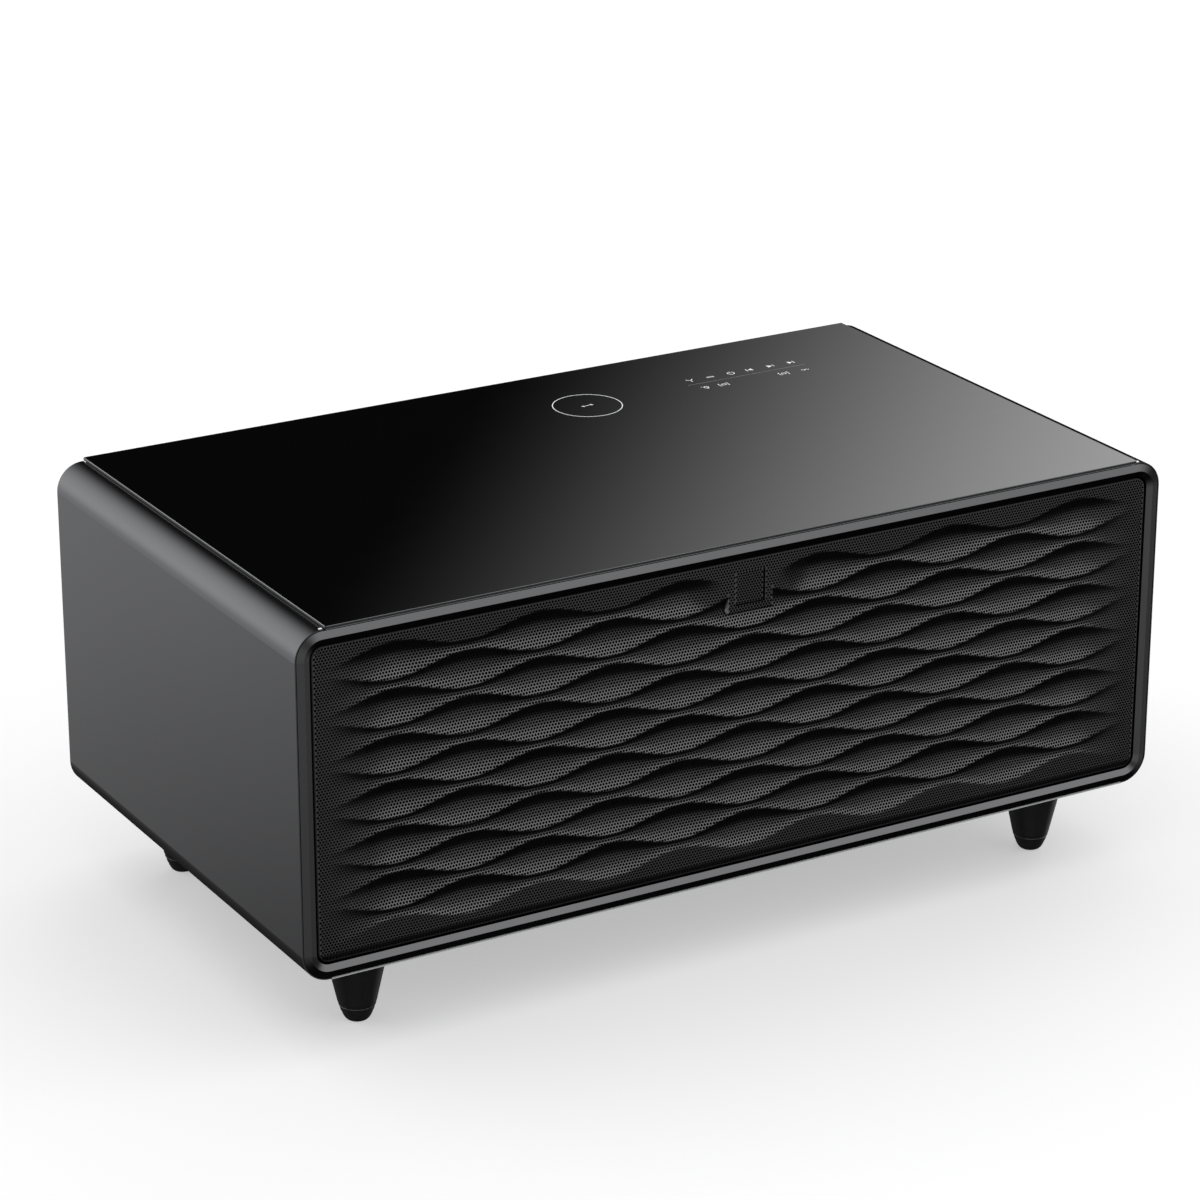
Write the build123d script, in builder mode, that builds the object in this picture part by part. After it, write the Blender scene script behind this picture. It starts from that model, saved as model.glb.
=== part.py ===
from build123d import *
import math
import os

os.makedirs("parts", exist_ok=True)

# ---------------------------------------------------------------- driving sizes (mm)
# Origin: on the floor under the middle of the body. +X right, +Y to the back, +Z up.
W, D = 900.0, 500.0            # outer casing width, overall depth
Z0 = 80.0                      # underside of the casing, the length of the feet
BODY_H = 324.0                 # casing height
Z1 = Z0 + BODY_H               # top of the casing's side shells
ZC = (Z0 + Z1) / 2
R_CASE = 26.2                  # outer corner radius of the casing
T_CASE = 1.0                   # casing sheet
Y_EDGE = 248.2                 # front and rear edge of the casing sheets
X_SEAM = 422.3                 # where side shells meet the glass and the base plate
FLANGE_X = 402.0               # inner edge of the shells' stepped flanges
GLASS_T, GLASS_TOP = 3.2, 407.0
GLASS_W, GLASS_D = 843.6, 500.0

BEZ_OUT, BEZ_RIDGE, BEZ_IN = 1.7, 8.3, 14.0     # insets from the casing's outside
Y_RIDGE, Y_OUTER, Y_INNER = 250.0, 248.1, 247.6
Y_FLANGE = 246.2

GRILLE_W, GRILLE_H = 868.0, 292.0
GRILLE_Y = -247.5              # flat border of the perforated sheet
GRILLE_T = 1.0
PAD_X, PAD_LOW, PAD_HIGH, PAD_DEEP = 15.8, 345.4, 376.8, 3.0

FOOT_X, FOOT_Y = 366.0, 183.0
FOOT_TIP_H = 10.0

RING_X, RING_Y = 61.0, 146.7   # charging place on the glass
KEYS_X, KEYS_Y = 245.5, 150.0  # middle of the touch field

FOAM_X, FOAM_LOW, FOAM_HIGH, FOAM_FRONT, FOAM_BACK = 352.0, 81.0, 386.0, -193.0, 100.0
FOAM_WALL = 32.0
LINER_T = 2.0
CAV_X, CAV_LOW, CAV_HIGH, CAV_BACK = 318.0, 115.0, 352.0, 66.0

SLIDE_Z, SLIDE_TRAVEL = 215.0, 250.0
TUB_X, TUB_LOW, TUB_HIGH, TUB_BACK = 305.0, 125.0, 318.0, 52.0
DOOR_X, DOOR_LOW, DOOR_HIGH = 350.0, 100.0, 384.0
DOOR_FRONT, DOOR_BACK = -232.0, -199.0


def front(y):
    """A sketch plane at this y that looks out of the front; its local y is up."""
    return Plane.XZ.offset(-y)


def save(part, name):
    part.label = name
    export_step(part, "parts/" + name + ".step")


# ---------------------------------------------------------------- casing
with BuildPart() as side_tube:
    with BuildSketch(front(-Y_EDGE)):
        with Locations((0, ZC)):
            RectangleRounded(W, BODY_H, R_CASE)
            RectangleRounded(W - 2 * T_CASE, BODY_H - 2 * T_CASE, R_CASE - T_CASE, mode=Mode.SUBTRACT)
    extrude(amount=-2 * Y_EDGE)
    with BuildSketch(Plane.XY.offset(Z0 - 5)):
        Rectangle(2 * X_SEAM, 2 * Y_EDGE + 2)
    extrude(amount=BODY_H + 10, mode=Mode.SUBTRACT)
    # stepped flanges: the base plate is let in below, the glass and the deck above and below the upper one
    for z in (Z0 + T_CASE, Z1 - 2 * T_CASE):
        with BuildSketch(Plane.XY.offset(z)):
            with Locations((-(FLANGE_X + 424.6) / 2, 0), ((FLANGE_X + 424.6) / 2, 0)):
                Rectangle(424.6 - FLANGE_X, 2 * 237.6)
        extrude(amount=T_CASE)

shells = side_tube.part.solids().sort_by(Axis.X)
with BuildPart() as left_side_shell:
    add(shells[0])
save(left_side_shell.part, "left_side_shell")

with BuildPart() as right_side_shell:
    add(shells[-1])
save(right_side_shell.part, "right_side_shell")

with BuildPart() as base_plate:
    with BuildSketch(Plane.XY.offset(Z0)):
        Rectangle(2 * X_SEAM - 0.2, 2 * Y_EDGE)
    extrude(amount=T_CASE)
    # holes for the foot studs
    with Locations(*[(sx * FOOT_X, sy * FOOT_Y, Z0 + 1) for sx in (-1, 1) for sy in (-1, 1)]):
        Hole(radius=4.6, depth=1.0)
    # air slots under the machine bay
    with BuildSketch(Plane.XY.offset(Z0 - 1)):
        with Locations((-80, 222)):
            with GridLocations(16, 1, 12, 1):
                SlotOverall(22, 5, rotation=90)
    extrude(amount=4, mode=Mode.SUBTRACT)
save(base_plate.part, "base_plate")

with BuildPart() as top_deck:
    with BuildSketch(Plane.XY.offset(Z1 - 3 * T_CASE)):
        Rectangle(2 * 420, 2 * 237.6)
        with Locations((RING_X, RING_Y)):
            Circle(43.5, mode=Mode.SUBTRACT)
        with Locations((KEYS_X, KEYS_Y)):
            RectangleRounded(162, 62, 4, mode=Mode.SUBTRACT)
    extrude(amount=T_CASE)
save(top_deck.part, "top_deck")

with BuildPart() as glass_bonding_strips:
    # on the shells' flanges
    with BuildSketch(Plane.XY.offset(Z1 - T_CASE)):
        with Locations((-411, 0), (411, 0)):
            Rectangle(15, 470)
    extrude(amount=GLASS_TOP - GLASS_T - (Z1 - T_CASE))
    # on the deck
    with BuildSketch(Plane.XY.offset(Z1 - 2 * T_CASE)):
        with Locations((0, 231), (0, -231)):
            Rectangle(800, 12)
        with Locations((-150, 0)):
            Rectangle(14, 440)
    extrude(amount=GLASS_TOP - GLASS_T - (Z1 - 2 * T_CASE))
save(glass_bonding_strips.part, "glass_bonding_strips")

with BuildPart() as glass_top:
    with BuildSketch(Plane.XY.offset(GLASS_TOP - GLASS_T)):
        RectangleRounded(GLASS_W, GLASS_D, 2.0)
    extrude(amount=GLASS_T)
    chamfer(glass_top.faces().sort_by(Axis.Z)[-1].edges(), 0.5)
save(glass_top.part, "glass_top")


# ---------------------------------------------------------------- front and rear frames
def ring(inset, radius):
    RectangleRounded(W - 2 * inset, BODY_H - 2 * inset, radius)


with BuildPart() as front_bezel:
    # lofted slope from the outer edge up to the ridge
    with BuildSketch(front(-Y_OUTER)):
        with Locations((0, ZC)):
            ring(BEZ_OUT, R_CASE - BEZ_OUT)
    with BuildSketch(front(-Y_RIDGE)):
        with Locations((0, ZC)):
            ring(BEZ_RIDGE, R_CASE - BEZ_RIDGE)
    loft()
    # flange behind the slope
    with BuildSketch(front(-Y_OUTER)):
        with Locations((0, ZC)):
            ring(BEZ_OUT, R_CASE - BEZ_OUT)
    extrude(amount=-(Y_OUTER - Y_FLANGE))
    # locating lip inside the casing sheet
    with BuildSketch(front(-Y_FLANGE)):
        with Locations((0, ZC)):
            ring(2.7, R_CASE - 2.7)
            RectangleRounded(W - 8.4, BODY_H - 8.4, R_CASE - 4.2, mode=Mode.SUBTRACT)
    extrude(amount=-8.2)
    # inner rim
    with BuildSketch(front(-Y_FLANGE)):
        with Locations((0, ZC)):
            ring(12.4, R_CASE - 12.4)
    extrude(amount=-5.2)
    # opening, widening towards the ridge
    with BuildSketch(front(-Y_INNER)):
        with Locations((0, ZC)):
            ring(BEZ_IN, R_CASE - BEZ_IN)
    with BuildSketch(front(-Y_RIDGE)):
        with Locations((0, ZC)):
            ring(BEZ_RIDGE, R_CASE - BEZ_RIDGE)
    loft(mode=Mode.SUBTRACT)
    with BuildSketch(front(-Y_INNER)):
        with Locations((0, ZC)):
            ring(BEZ_IN, R_CASE - BEZ_IN)
    extrude(amount=-12, mode=Mode.SUBTRACT)
save(front_bezel.part, "front_bezel")

with BuildPart() as rear_bezel:
    with BuildSketch(front(Y_OUTER)):
        with Locations((0, ZC)):
            ring(BEZ_OUT, R_CASE - BEZ_OUT)
    with BuildSketch(front(Y_RIDGE)):
        with Locations((0, ZC)):
            ring(BEZ_RIDGE, R_CASE - BEZ_RIDGE)
    loft()
    with BuildSketch(front(Y_FLANGE)):
        with Locations((0, ZC)):
            ring(BEZ_OUT, R_CASE - BEZ_OUT)
    extrude(amount=-(Y_OUTER - Y_FLANGE))
    with BuildSketch(front(Y_FLANGE - 8.2)):
        with Locations((0, ZC)):
            ring(2.7, R_CASE - 2.7)
            RectangleRounded(W - 8.4, BODY_H - 8.4, R_CASE - 4.2, mode=Mode.SUBTRACT)
    extrude(amount=-8.2)
    with BuildSketch(front(Y_INNER)):
        with Locations((0, ZC)):
            ring(BEZ_IN, R_CASE - BEZ_IN)
    with BuildSketch(front(Y_RIDGE)):
        with Locations((0, ZC)):
            ring(BEZ_RIDGE, R_CASE - BEZ_RIDGE)
    loft(mode=Mode.SUBTRACT)
    with BuildSketch(front(Y_INNER)):
        with Locations((0, ZC)):
            ring(BEZ_IN, R_CASE - BEZ_IN)
    extrude(amount=12, mode=Mode.SUBTRACT)
save(rear_bezel.part, "rear_bezel")

# ---------------------------------------------------------------- rear panel
PANEL_Y, PANEL_T = 245.0, 1.2
INLET_X, SWITCH_X, MAINS_Z = -372.0, -326.0, 142.0
SCREWS = [(sx * x, z) for sx in (-1, 1) for x, z in ((424, 110), (424, 242), (424, 374), (212, 382), (212, 102))]
SCREWS += [(0, 382), (0, 102)]

with BuildPart() as rear_panel:
    with BuildSketch(front(PANEL_Y)):
        with Locations((0, ZC)):
            RectangleRounded(W - 10.4, BODY_H - 10.4, R_CASE - 5.2)
    extrude(amount=-PANEL_T)
    with BuildSketch(front(PANEL_Y)):
        with Locations(*SCREWS):
            Circle(2.2)
        with Locations((INLET_X, MAINS_Z)):
            RectangleRounded(28.4, 20.8, 3)
        with Locations((SWITCH_X, MAINS_Z)):
            Rectangle(19.4, 13.4)
        # exhaust slots behind the fan
        with Locations((-20, 195)):
            with GridLocations(1, 10, 1, 13):
                SlotOverall(132, 5)
        # intake slots beside the compressor
        with Locations((230, 195)):
            with GridLocations(1, 10, 1, 13):
                SlotOverall(150, 5)
        # slots above, to let warm air out
        with Locations((0, 352)):
            with GridLocations(12, 1, 50, 1):
                SlotOverall(22, 5, rotation=90)
    extrude(amount=-PANEL_T, mode=Mode.SUBTRACT)
save(rear_panel.part, "rear_panel")

# folded lugs on the casing, deck and base that take the panel screws
with BuildPart() as panel_lugs:
    for x, z in SCREWS:
        if abs(x) > 400:
            with Locations((math.copysign(433.0, x), 236.0, z)):
                Box(32, 18, 16)
        elif z > 300:
            with Locations((x, 235.5, 387.5)):
                Box(18, 19, 27)
        else:
            with Locations((x, 235.5, 94.9)):
                Box(18, 19, 27.8)
    with BuildSketch(front(PANEL_Y)):
        with Locations(*SCREWS):
            Circle(1.75)
    extrude(amount=-20, mode=Mode.SUBTRACT)
    with BuildSketch(front(PANEL_Y)):
        with Locations(*SCREWS):
            Circle(1.75)
    extrude(amount=16, mode=Mode.SUBTRACT)
    # clear of the lip of the rear frame, and inside the casing sheet
    with BuildSketch(front(Y_FLANGE - 8.6)):
        with Locations((0, ZC)):
            RectangleRounded(W + 20, BODY_H + 20, R_CASE)
            RectangleRounded(W - 10.4, BODY_H - 10.4, R_CASE - 5.2, mode=Mode.SUBTRACT)
    extrude(amount=-10, mode=Mode.SUBTRACT)
    with BuildSketch(front(200)):
        with Locations((0, ZC)):
            RectangleRounded(W + 20, BODY_H + 20, R_CASE)
            RectangleRounded(W - 2, BODY_H - 2, R_CASE - 1, mode=Mode.SUBTRACT)
    extrude(amount=-60, mode=Mode.SUBTRACT)

# the lugs, and the spacers that hold each frame's lip to the casing sheet
with BuildPart() as mounting_lugs:
    add(panel_lugs.part)
    for sy in (-1, 1):
        for sx in (-1, 1):
            for z in (150, 242, 334):
                with Locations((sx * (W / 2 - T_CASE - 0.85), sy * 242.0, z)):
                    Box(1.7, 8, 24)
        for x in (-300, -100, 100, 300):
            with Locations((x, sy * 242.0, Z0 + 1.85)):
                Box(30, 8, 1.7)
save(mounting_lugs.part, "mounting_lugs")

with BuildPart() as rear_panel_screws:
    # the heads face the back
    for x, z in SCREWS:
        with BuildSketch(front(PANEL_Y + PANEL_T)):
            with Locations((x, z)):
                Circle(3.6)
        extrude(amount=-1.9)
        with BuildSketch(front(PANEL_Y + PANEL_T)):
            with Locations((x, z)):
                Circle(1.7)
        extrude(amount=13)
    with BuildSketch(front(PANEL_Y + PANEL_T + 1.9)):
        with Locations(*SCREWS):
            Rectangle(4.4, 0.9)
            Rectangle(0.9, 4.4)
    extrude(amount=0.9, mode=Mode.SUBTRACT)
save(rear_panel_screws.part, "rear_panel_screws")

# ---------------------------------------------------------------- feet
FEET = [(sx * FOOT_X, sy * FOOT_Y) for sx in (-1, 1) for sy in (-1, 1)]

with BuildPart() as one_foot:
    with BuildSketch(Plane.XZ):
        with BuildLine():
            Polyline((4.0, FOOT_TIP_H + 0.0), (15.0, FOOT_TIP_H), (17.9, 19.5), (31.0, Z0 - 1.5), (29.5, Z0), (4.0, Z0), close=True)
        make_face()
    revolve(axis=Axis.Z)
with BuildPart() as feet:
    for x, y in FEET:
        add(one_foot.part.moved(Location((x, y, 0))))

with BuildPart() as one_tip:
    with BuildSketch(Plane.XZ):
        with BuildLine():
            l1 = Line((0, 0), (7.5, 0))
            l2 = Spline((7.5, 0), (12.0, 3.6), (14.7, FOOT_TIP_H), tangents=((1.0, 0.25), (0.28, 1.0)))
            l3 = Line((14.7, FOOT_TIP_H), (0, FOOT_TIP_H))
            l4 = Line((0, FOOT_TIP_H), (0, 0))
        make_face()
    revolve(axis=Axis.Z)
with BuildPart() as foot_tips:
    for x, y in FEET:
        add(one_tip.part.moved(Location((x, y, 0))))
save(foot_tips.part, "foot_tips")

with BuildPart() as foot_studs:
    for x, y in FEET:
        with BuildSketch(Plane.XY.offset(30)):
            with Locations((x, y)):
                Circle(4.0)
        extrude(amount=61)
        with BuildSketch(Plane.XY.offset(84)):
            with Locations((x, y)):
                RegularPolygon(7.5, 6)
                Circle(3.9, mode=Mode.SUBTRACT)
        extrude(amount=5)
save(foot_studs.part, "foot_studs")

with BuildPart() as feet_bored:
    add(feet.part)
    with BuildSketch(Plane.XY.offset(30)):
        with Locations(*FEET):
            Circle(4.0)
    extrude(amount=60, mode=Mode.SUBTRACT)
    # core below the stud stays solid
    with BuildSketch(Plane.XY.offset(FOOT_TIP_H)):
        with Locations(*FEET):
            Circle(4.0)
    extrude(amount=20)
save(feet_bored.part, "feet")

with BuildPart() as foot_plates:
    for x, y in FEET:
        with BuildSketch(Plane.XY.offset(81)):
            with Locations((x + math.copysign(9.5, x), y)):
                RectangleRounded(43, 56, 4)
            with Locations((x, y)):
                Circle(4.0, mode=Mode.SUBTRACT)
        extrude(amount=3)
save(foot_plates.part, "foot_plates")

# ---------------------------------------------------------------- electronics under the glass
with BuildPart() as charging_coil_housing:
    with BuildSketch(Plane.XY.offset(390)):
        with Locations((RING_X, RING_Y)):
            Circle(50)
    extrude(amount=11)
    with BuildSketch(Plane.XY.offset(401)):
        with Locations((RING_X, RING_Y)):
            Circle(43)
    extrude(amount=2.8)
    with BuildSketch(Plane.XY.offset(392)):
        with Locations((RING_X, RING_Y)):
            Circle(41)
    extrude(amount=10.4, mode=Mode.SUBTRACT)
    with BuildSketch(Plane.XY.offset(391.9)):
        with Locations((RING_X - 45, RING_Y)):
            Rectangle(12, 10)
    extrude(amount=4, mode=Mode.SUBTRACT)
save(charging_coil_housing.part, "charging_coil_housing")

with BuildPart() as charger_board:
    with BuildSketch(Plane.XY.offset(392)):
        with Locations((RING_X, RING_Y)):
            Circle(38)
    extrude(amount=1.6)
    with Locations((RING_X - 14, RING_Y - 20, 394.8), (RING_X + 12, RING_Y - 22, 394.4), (RING_X + 18, RING_Y + 20, 394.6)):
        Box(9, 9, 2.4)
save(charger_board.part, "charger_board")

with BuildPart() as charging_coil:
    # ferrite tile on a central post, with the flat winding on it
    with BuildSketch(Plane.XY.offset(393.6)):
        with Locations((RING_X, RING_Y)):
            Circle(6)
    extrude(amount=4.4)
    with BuildSketch(Plane.XY.offset(398)):
        with Locations((RING_X, RING_Y)):
            Circle(27)
    extrude(amount=1.6)
    with BuildSketch(Plane.XY.offset(399.6)):
        with Locations((RING_X, RING_Y)):
            Circle(24)
            Circle(10, mode=Mode.SUBTRACT)
    extrude(amount=1.6)
save(charging_coil.part, "charging_coil")

with BuildPart() as touch_control_board:
    with BuildSketch(Plane.XY.offset(402.2)):
        with Locations((KEYS_X, KEYS_Y)):
            RectangleRounded(158, 58, 3)
    extrude(amount=1.6)
    with Locations((KEYS_X - 58, KEYS_Y - 18, 400.9), (KEYS_X - 30, KEYS_Y + 12, 401.2), (KEYS_X + 20, KEYS_Y, 401.0)):
        Box(14, 14, 2.6)
save(touch_control_board.part, "touch_control_board")

# ---------------------------------------------------------------- cooled cabinet
with BuildPart() as cabinet_foam:
    with BuildSketch(front(FOAM_FRONT)):
        with BuildLine():
            Polyline((-FOAM_X, FOAM_LOW), (FOAM_X, FOAM_LOW), (FOAM_X, FOAM_HIGH), (-FOAM_X, FOAM_HIGH), close=True)
        make_face()
    extrude(amount=-(FOAM_BACK - FOAM_FRONT))
    with BuildSketch(front(FOAM_FRONT)):
        with Locations((0, (CAV_LOW + CAV_HIGH) / 2)):
            RectangleRounded(2 * (CAV_X + LINER_T), CAV_HIGH - CAV_LOW + 2 * LINER_T, 14)
    extrude(amount=-(CAV_BACK + LINER_T - FOAM_FRONT), mode=Mode.SUBTRACT)
save(cabinet_foam.part, "cabinet_foam")

with BuildPart() as cabinet_liner:
    with BuildSketch(front(FOAM_FRONT)):
        with Locations((0, (CAV_LOW + CAV_HIGH) / 2)):
            RectangleRounded(2 * (CAV_X + LINER_T), CAV_HIGH - CAV_LOW + 2 * LINER_T, 14)
    extrude(amount=-(CAV_BACK + LINER_T - FOAM_FRONT))
    with BuildSketch(front(FOAM_FRONT - LINER_T)):
        with Locations((0, 235)):
            RectangleRounded(2 * FOAM_X, 302, 6)
    extrude(amount=-LINER_T)
    with BuildSketch(front(FOAM_FRONT - LINER_T)):
        with Locations((0, (CAV_LOW + CAV_HIGH) / 2)):
            RectangleRounded(2 * CAV_X, CAV_HIGH - CAV_LOW, 12)
    extrude(amount=-(CAV_BACK - FOAM_FRONT + LINER_T), mode=Mode.SUBTRACT)
save(cabinet_liner.part, "cabinet_liner")

with BuildPart() as evaporator_plate:
    with Locations((0, 64.0, 255)):
        Box(540, 4, 150)
    with BuildSketch(front(62)):
        with Locations((0, 255)):
            with GridLocations(1, 22, 1, 6):
                SlotOverall(500, 8)
    extrude(amount=2.4)
save(evaporator_plate.part, "evaporator_plate")

with BuildPart() as interior_light:
    with BuildSketch(Plane.XY.offset(346)):
        with Locations((0, -150)):
            RectangleRounded(120, 22, 6)
    extrude(amount=6)
save(interior_light.part, "interior_light")


# ---------------------------------------------------------------- drawer slides
def channel(x_web, x_lip, height, web, lip):
    """Corners of a C channel seen along Y: its web stands at x_web and its lips reach to x_lip."""
    way = 1 if x_lip > x_web else -1
    a, h = x_web, height / 2
    return [(a, SLIDE_Z - h), (x_lip, SLIDE_Z - h), (x_lip, SLIDE_Z - h + lip), (a + way * web, SLIDE_Z - h + lip),
            (a + way * web, SLIDE_Z + h - lip), (x_lip, SLIDE_Z + h - lip), (x_lip, SLIDE_Z + h), (a, SLIDE_Z + h)]


with BuildPart() as left_slide_rail:
    with BuildSketch(front(-188)):
        with BuildLine():
            Polyline(*channel(-318.0, -308.0, 45, 1.4, 1.4), close=True)
        make_face()
    extrude(amount=-248)
save(left_slide_rail.part, "left_slide_rail")

with BuildPart() as right_slide_rail:
    with BuildSketch(front(-188)):
        with BuildLine():
            Polyline(*channel(318.0, 308.0, 45, 1.4, 1.4), close=True)
        make_face()
    extrude(amount=-248)
save(right_slide_rail.part, "right_slide_rail")

with BuildPart() as left_slide_middle:
    with BuildSketch(front(-187)):
        with BuildLine():
            Polyline(*channel(-315.6, -307.6, 39, 1.2, 1.2), close=True)
        make_face()
    extrude(amount=-244)
save(left_slide_middle.part, "left_slide_middle")

with BuildPart() as right_slide_middle:
    with BuildSketch(front(-187)):
        with BuildLine():
            Polyline(*channel(315.6, 307.6, 39, 1.2, 1.2), close=True)
        make_face()
    extrude(amount=-244)
save(right_slide_middle.part, "right_slide_middle")

with BuildPart() as left_slide_inner:
    with BuildSketch(front(-188)):
        with BuildLine():
            Polyline(*channel(-TUB_X, -312.4, 31, 1.4, 1.2), close=True)
        make_face()
    extrude(amount=-240)
save(left_slide_inner.part, "left_slide_inner")

with BuildPart() as right_slide_inner:
    with BuildSketch(front(-188)):
        with BuildLine():
            Polyline(*channel(TUB_X, 312.4, 31, 1.4, 1.2), close=True)
        make_face()
    extrude(amount=-240)
save(right_slide_inner.part, "right_slide_inner")

# ---------------------------------------------------------------- drawer
with BuildPart() as drawer_front_grille:
    # pan pressed from one perforated sheet: flat front, turned rim
    with BuildSketch(front(GRILLE_Y)):
        with Locations((0, ZC)):
            RectangleRounded(GRILLE_W, GRILLE_H, 10.5)
    extrude(amount=-8.5)
    with BuildSketch(front(GRILLE_Y + GRILLE_T)):
        with Locations((0, ZC)):
            RectangleRounded(GRILLE_W - 2 * GRILLE_T, GRILLE_H - 2 * GRILLE_T, 9.5)
    extrude(amount=-9, mode=Mode.SUBTRACT)
    # square seat at the top centre
    with BuildSketch(front(GRILLE_Y)):
        with Locations((0, (PAD_LOW + PAD_HIGH) / 2)):
            Rectangle(2 * PAD_X + 2, PAD_HIGH - PAD_LOW + 2)
    extrude(amount=-(PAD_DEEP + GRILLE_T))
    with BuildSketch(front(GRILLE_Y)):
        with Locations((0, (PAD_LOW + PAD_HIGH) / 2)):
            Rectangle(2 * PAD_X, PAD_HIGH - PAD_LOW)
    extrude(amount=-PAD_DEEP, mode=Mode.SUBTRACT)
save(drawer_front_grille.part, "drawer_front_grille")

with BuildPart() as fascia_frame:
    with BuildSketch(front(-235)):
        with Locations((0, ZC)):
            RectangleRounded(862, 286, 8)
    extrude(amount=-3)
    with BuildSketch(front(GRILLE_Y + GRILLE_T)):
        with Locations((0, ZC)):
            RectangleRounded(862, 286, 8)
            RectangleRounded(852, 276, 4, mode=Mode.SUBTRACT)
    extrude(amount=-11.5)
    # sound windows in front of the speaker boxes
    with BuildSketch(front(-235)):
        with Locations((-400, ZC), (400, ZC)):
            RectangleRounded(46, 236, 6)
    extrude(amount=-3, mode=Mode.SUBTRACT)
    # stiffening ribs across the middle
    with BuildSketch(front(-240)):
        with Locations((0, 150), (0, 242), (0, 334)):
            Rectangle(720, 3)
        with Locations((-240, 242), (240, 242)):
            Rectangle(3, 276)
    extrude(amount=-5)
save(fascia_frame.part, "fascia_frame")

with BuildPart() as door_core:
    with BuildSketch(front(DOOR_FRONT)):
        with Locations((0, (DOOR_LOW + DOOR_HIGH) / 2)):
            RectangleRounded(2 * DOOR_X, DOOR_HIGH - DOOR_LOW, 8)
    extrude(amount=-(DOOR_BACK - DOOR_FRONT))
save(door_core.part, "door_core")

with BuildPart() as door_gasket:
    with BuildSketch(front(DOOR_BACK)):
        with Locations((0, 233.5)):
            RectangleRounded(688, 269, 10)
            RectangleRounded(664, 245, 5, mode=Mode.SUBTRACT)
    extrude(amount=-3.7)
save(door_gasket.part, "door_gasket")

with BuildPart() as drawer_tub:
    with BuildSketch(Plane.XY.offset(TUB_LOW)):
        with Locations((0, (DOOR_BACK + TUB_BACK) / 2)):
            RectangleRounded(2 * TUB_X, TUB_BACK - DOOR_BACK, 8)
    extrude(amount=TUB_HIGH - TUB_LOW)
    with BuildSketch(Plane.XY.offset(TUB_LOW + 2.5)):
        with Locations((0, (DOOR_BACK + TUB_BACK) / 2)):
            RectangleRounded(2 * TUB_X - 5, TUB_BACK - DOOR_BACK - 5, 5.5)
    extrude(amount=TUB_HIGH, mode=Mode.SUBTRACT)
save(drawer_tub.part, "drawer_tub")

with BuildPart() as tub_dividers:
    for x in (-102.0, 102.0):
        with Locations((x, (DOOR_BACK + TUB_BACK) / 2, TUB_LOW + 2.5 + 70)):
            Box(2.0, TUB_BACK - DOOR_BACK - 5.0, 140)
save(tub_dividers.part, "tub_dividers")

# ---------------------------------------------------------------- push latch
LATCH_Z = 244.0
with BuildPart() as latch_housing:
    with Locations((360, -206, LATCH_Z)):
        Box(16, 40, 18)
    with BuildSketch(front(-226)):
        with Locations((360, LATCH_Z)):
            Circle(3.5)
    extrude(amount=-36, mode=Mode.SUBTRACT)
save(latch_housing.part, "latch_housing")

with BuildPart() as latch_plunger:
    with BuildSketch(front(-230)):
        with Locations((360, LATCH_Z)):
            Circle(3.44)
    extrude(amount=-30)
save(latch_plunger.part, "latch_plunger")

with BuildPart() as latch_strike:
    with Locations((360, -231.25, LATCH_Z)):
        Box(18, 1.5, 22)
save(latch_strike.part, "latch_strike")

# ---------------------------------------------------------------- speakers
SPK_X, SPK_FRONT, SPK_BACK = 409.0, -226.0, 80.0
WOOFER_Z, TWEETER_Z = 200.0, 310.0


def speaker_outline(sx, inset):
    """Corners of a speaker box seen from the front, moved in by a wall's thickness."""
    i = inset
    pts = [(372 + i, 92 + i), (437 - i * 0.6, 92 + i), (446 - i, 102 + i * 0.6), (446 - i, 380 - i * 0.6),
           (437 - i * 0.6, 392 - i), (372 + i, 392 - i)]
    return [(sx * x, z) for x, z in pts]


with BuildPart() as left_speaker_box:
    with BuildSketch(front(SPK_FRONT)):
        with BuildLine():
            Polyline(*speaker_outline(-1, 0), close=True)
        make_face()
    extrude(amount=-(SPK_BACK - SPK_FRONT))
    with BuildSketch(front(SPK_FRONT + 5)):
        with BuildLine():
            Polyline(*speaker_outline(-1, 4), close=True)
        make_face()
    extrude(amount=-(SPK_BACK - SPK_FRONT - 10), mode=Mode.SUBTRACT)
    with BuildSketch(front(SPK_FRONT)):
        with Locations((-SPK_X, WOOFER_Z)):
            Circle(31)
        with Locations((-SPK_X, TWEETER_Z)):
            Circle(15)
        with Locations((-SPK_X, 130)):
            Circle(12)
    extrude(amount=-5, mode=Mode.SUBTRACT)
save(left_speaker_box.part, "left_speaker_box")

with BuildPart() as right_speaker_box:
    with BuildSketch(front(SPK_FRONT)):
        with BuildLine():
            Polyline(*speaker_outline(1, 0), close=True)
        make_face()
    extrude(amount=-(SPK_BACK - SPK_FRONT))
    with BuildSketch(front(SPK_FRONT + 5)):
        with BuildLine():
            Polyline(*speaker_outline(1, 4), close=True)
        make_face()
    extrude(amount=-(SPK_BACK - SPK_FRONT - 10), mode=Mode.SUBTRACT)
    with BuildSketch(front(SPK_FRONT)):
        with Locations((SPK_X, WOOFER_Z)):
            Circle(31)
        with Locations((SPK_X, TWEETER_Z)):
            Circle(15)
        with Locations((SPK_X, 130)):
            Circle(12)
    extrude(amount=-5, mode=Mode.SUBTRACT)
save(right_speaker_box.part, "right_speaker_box")

with BuildPart() as speaker_isolators:
    for sx in (-1, 1):
        for y in (-120, 60):
            with BuildSketch(Plane.XY.offset(82)):
                with Locations((sx * 415, y)):
                    Rectangle(12, 24)
            extrude(amount=10)
save(speaker_isolators.part, "speaker_isolators")

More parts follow.
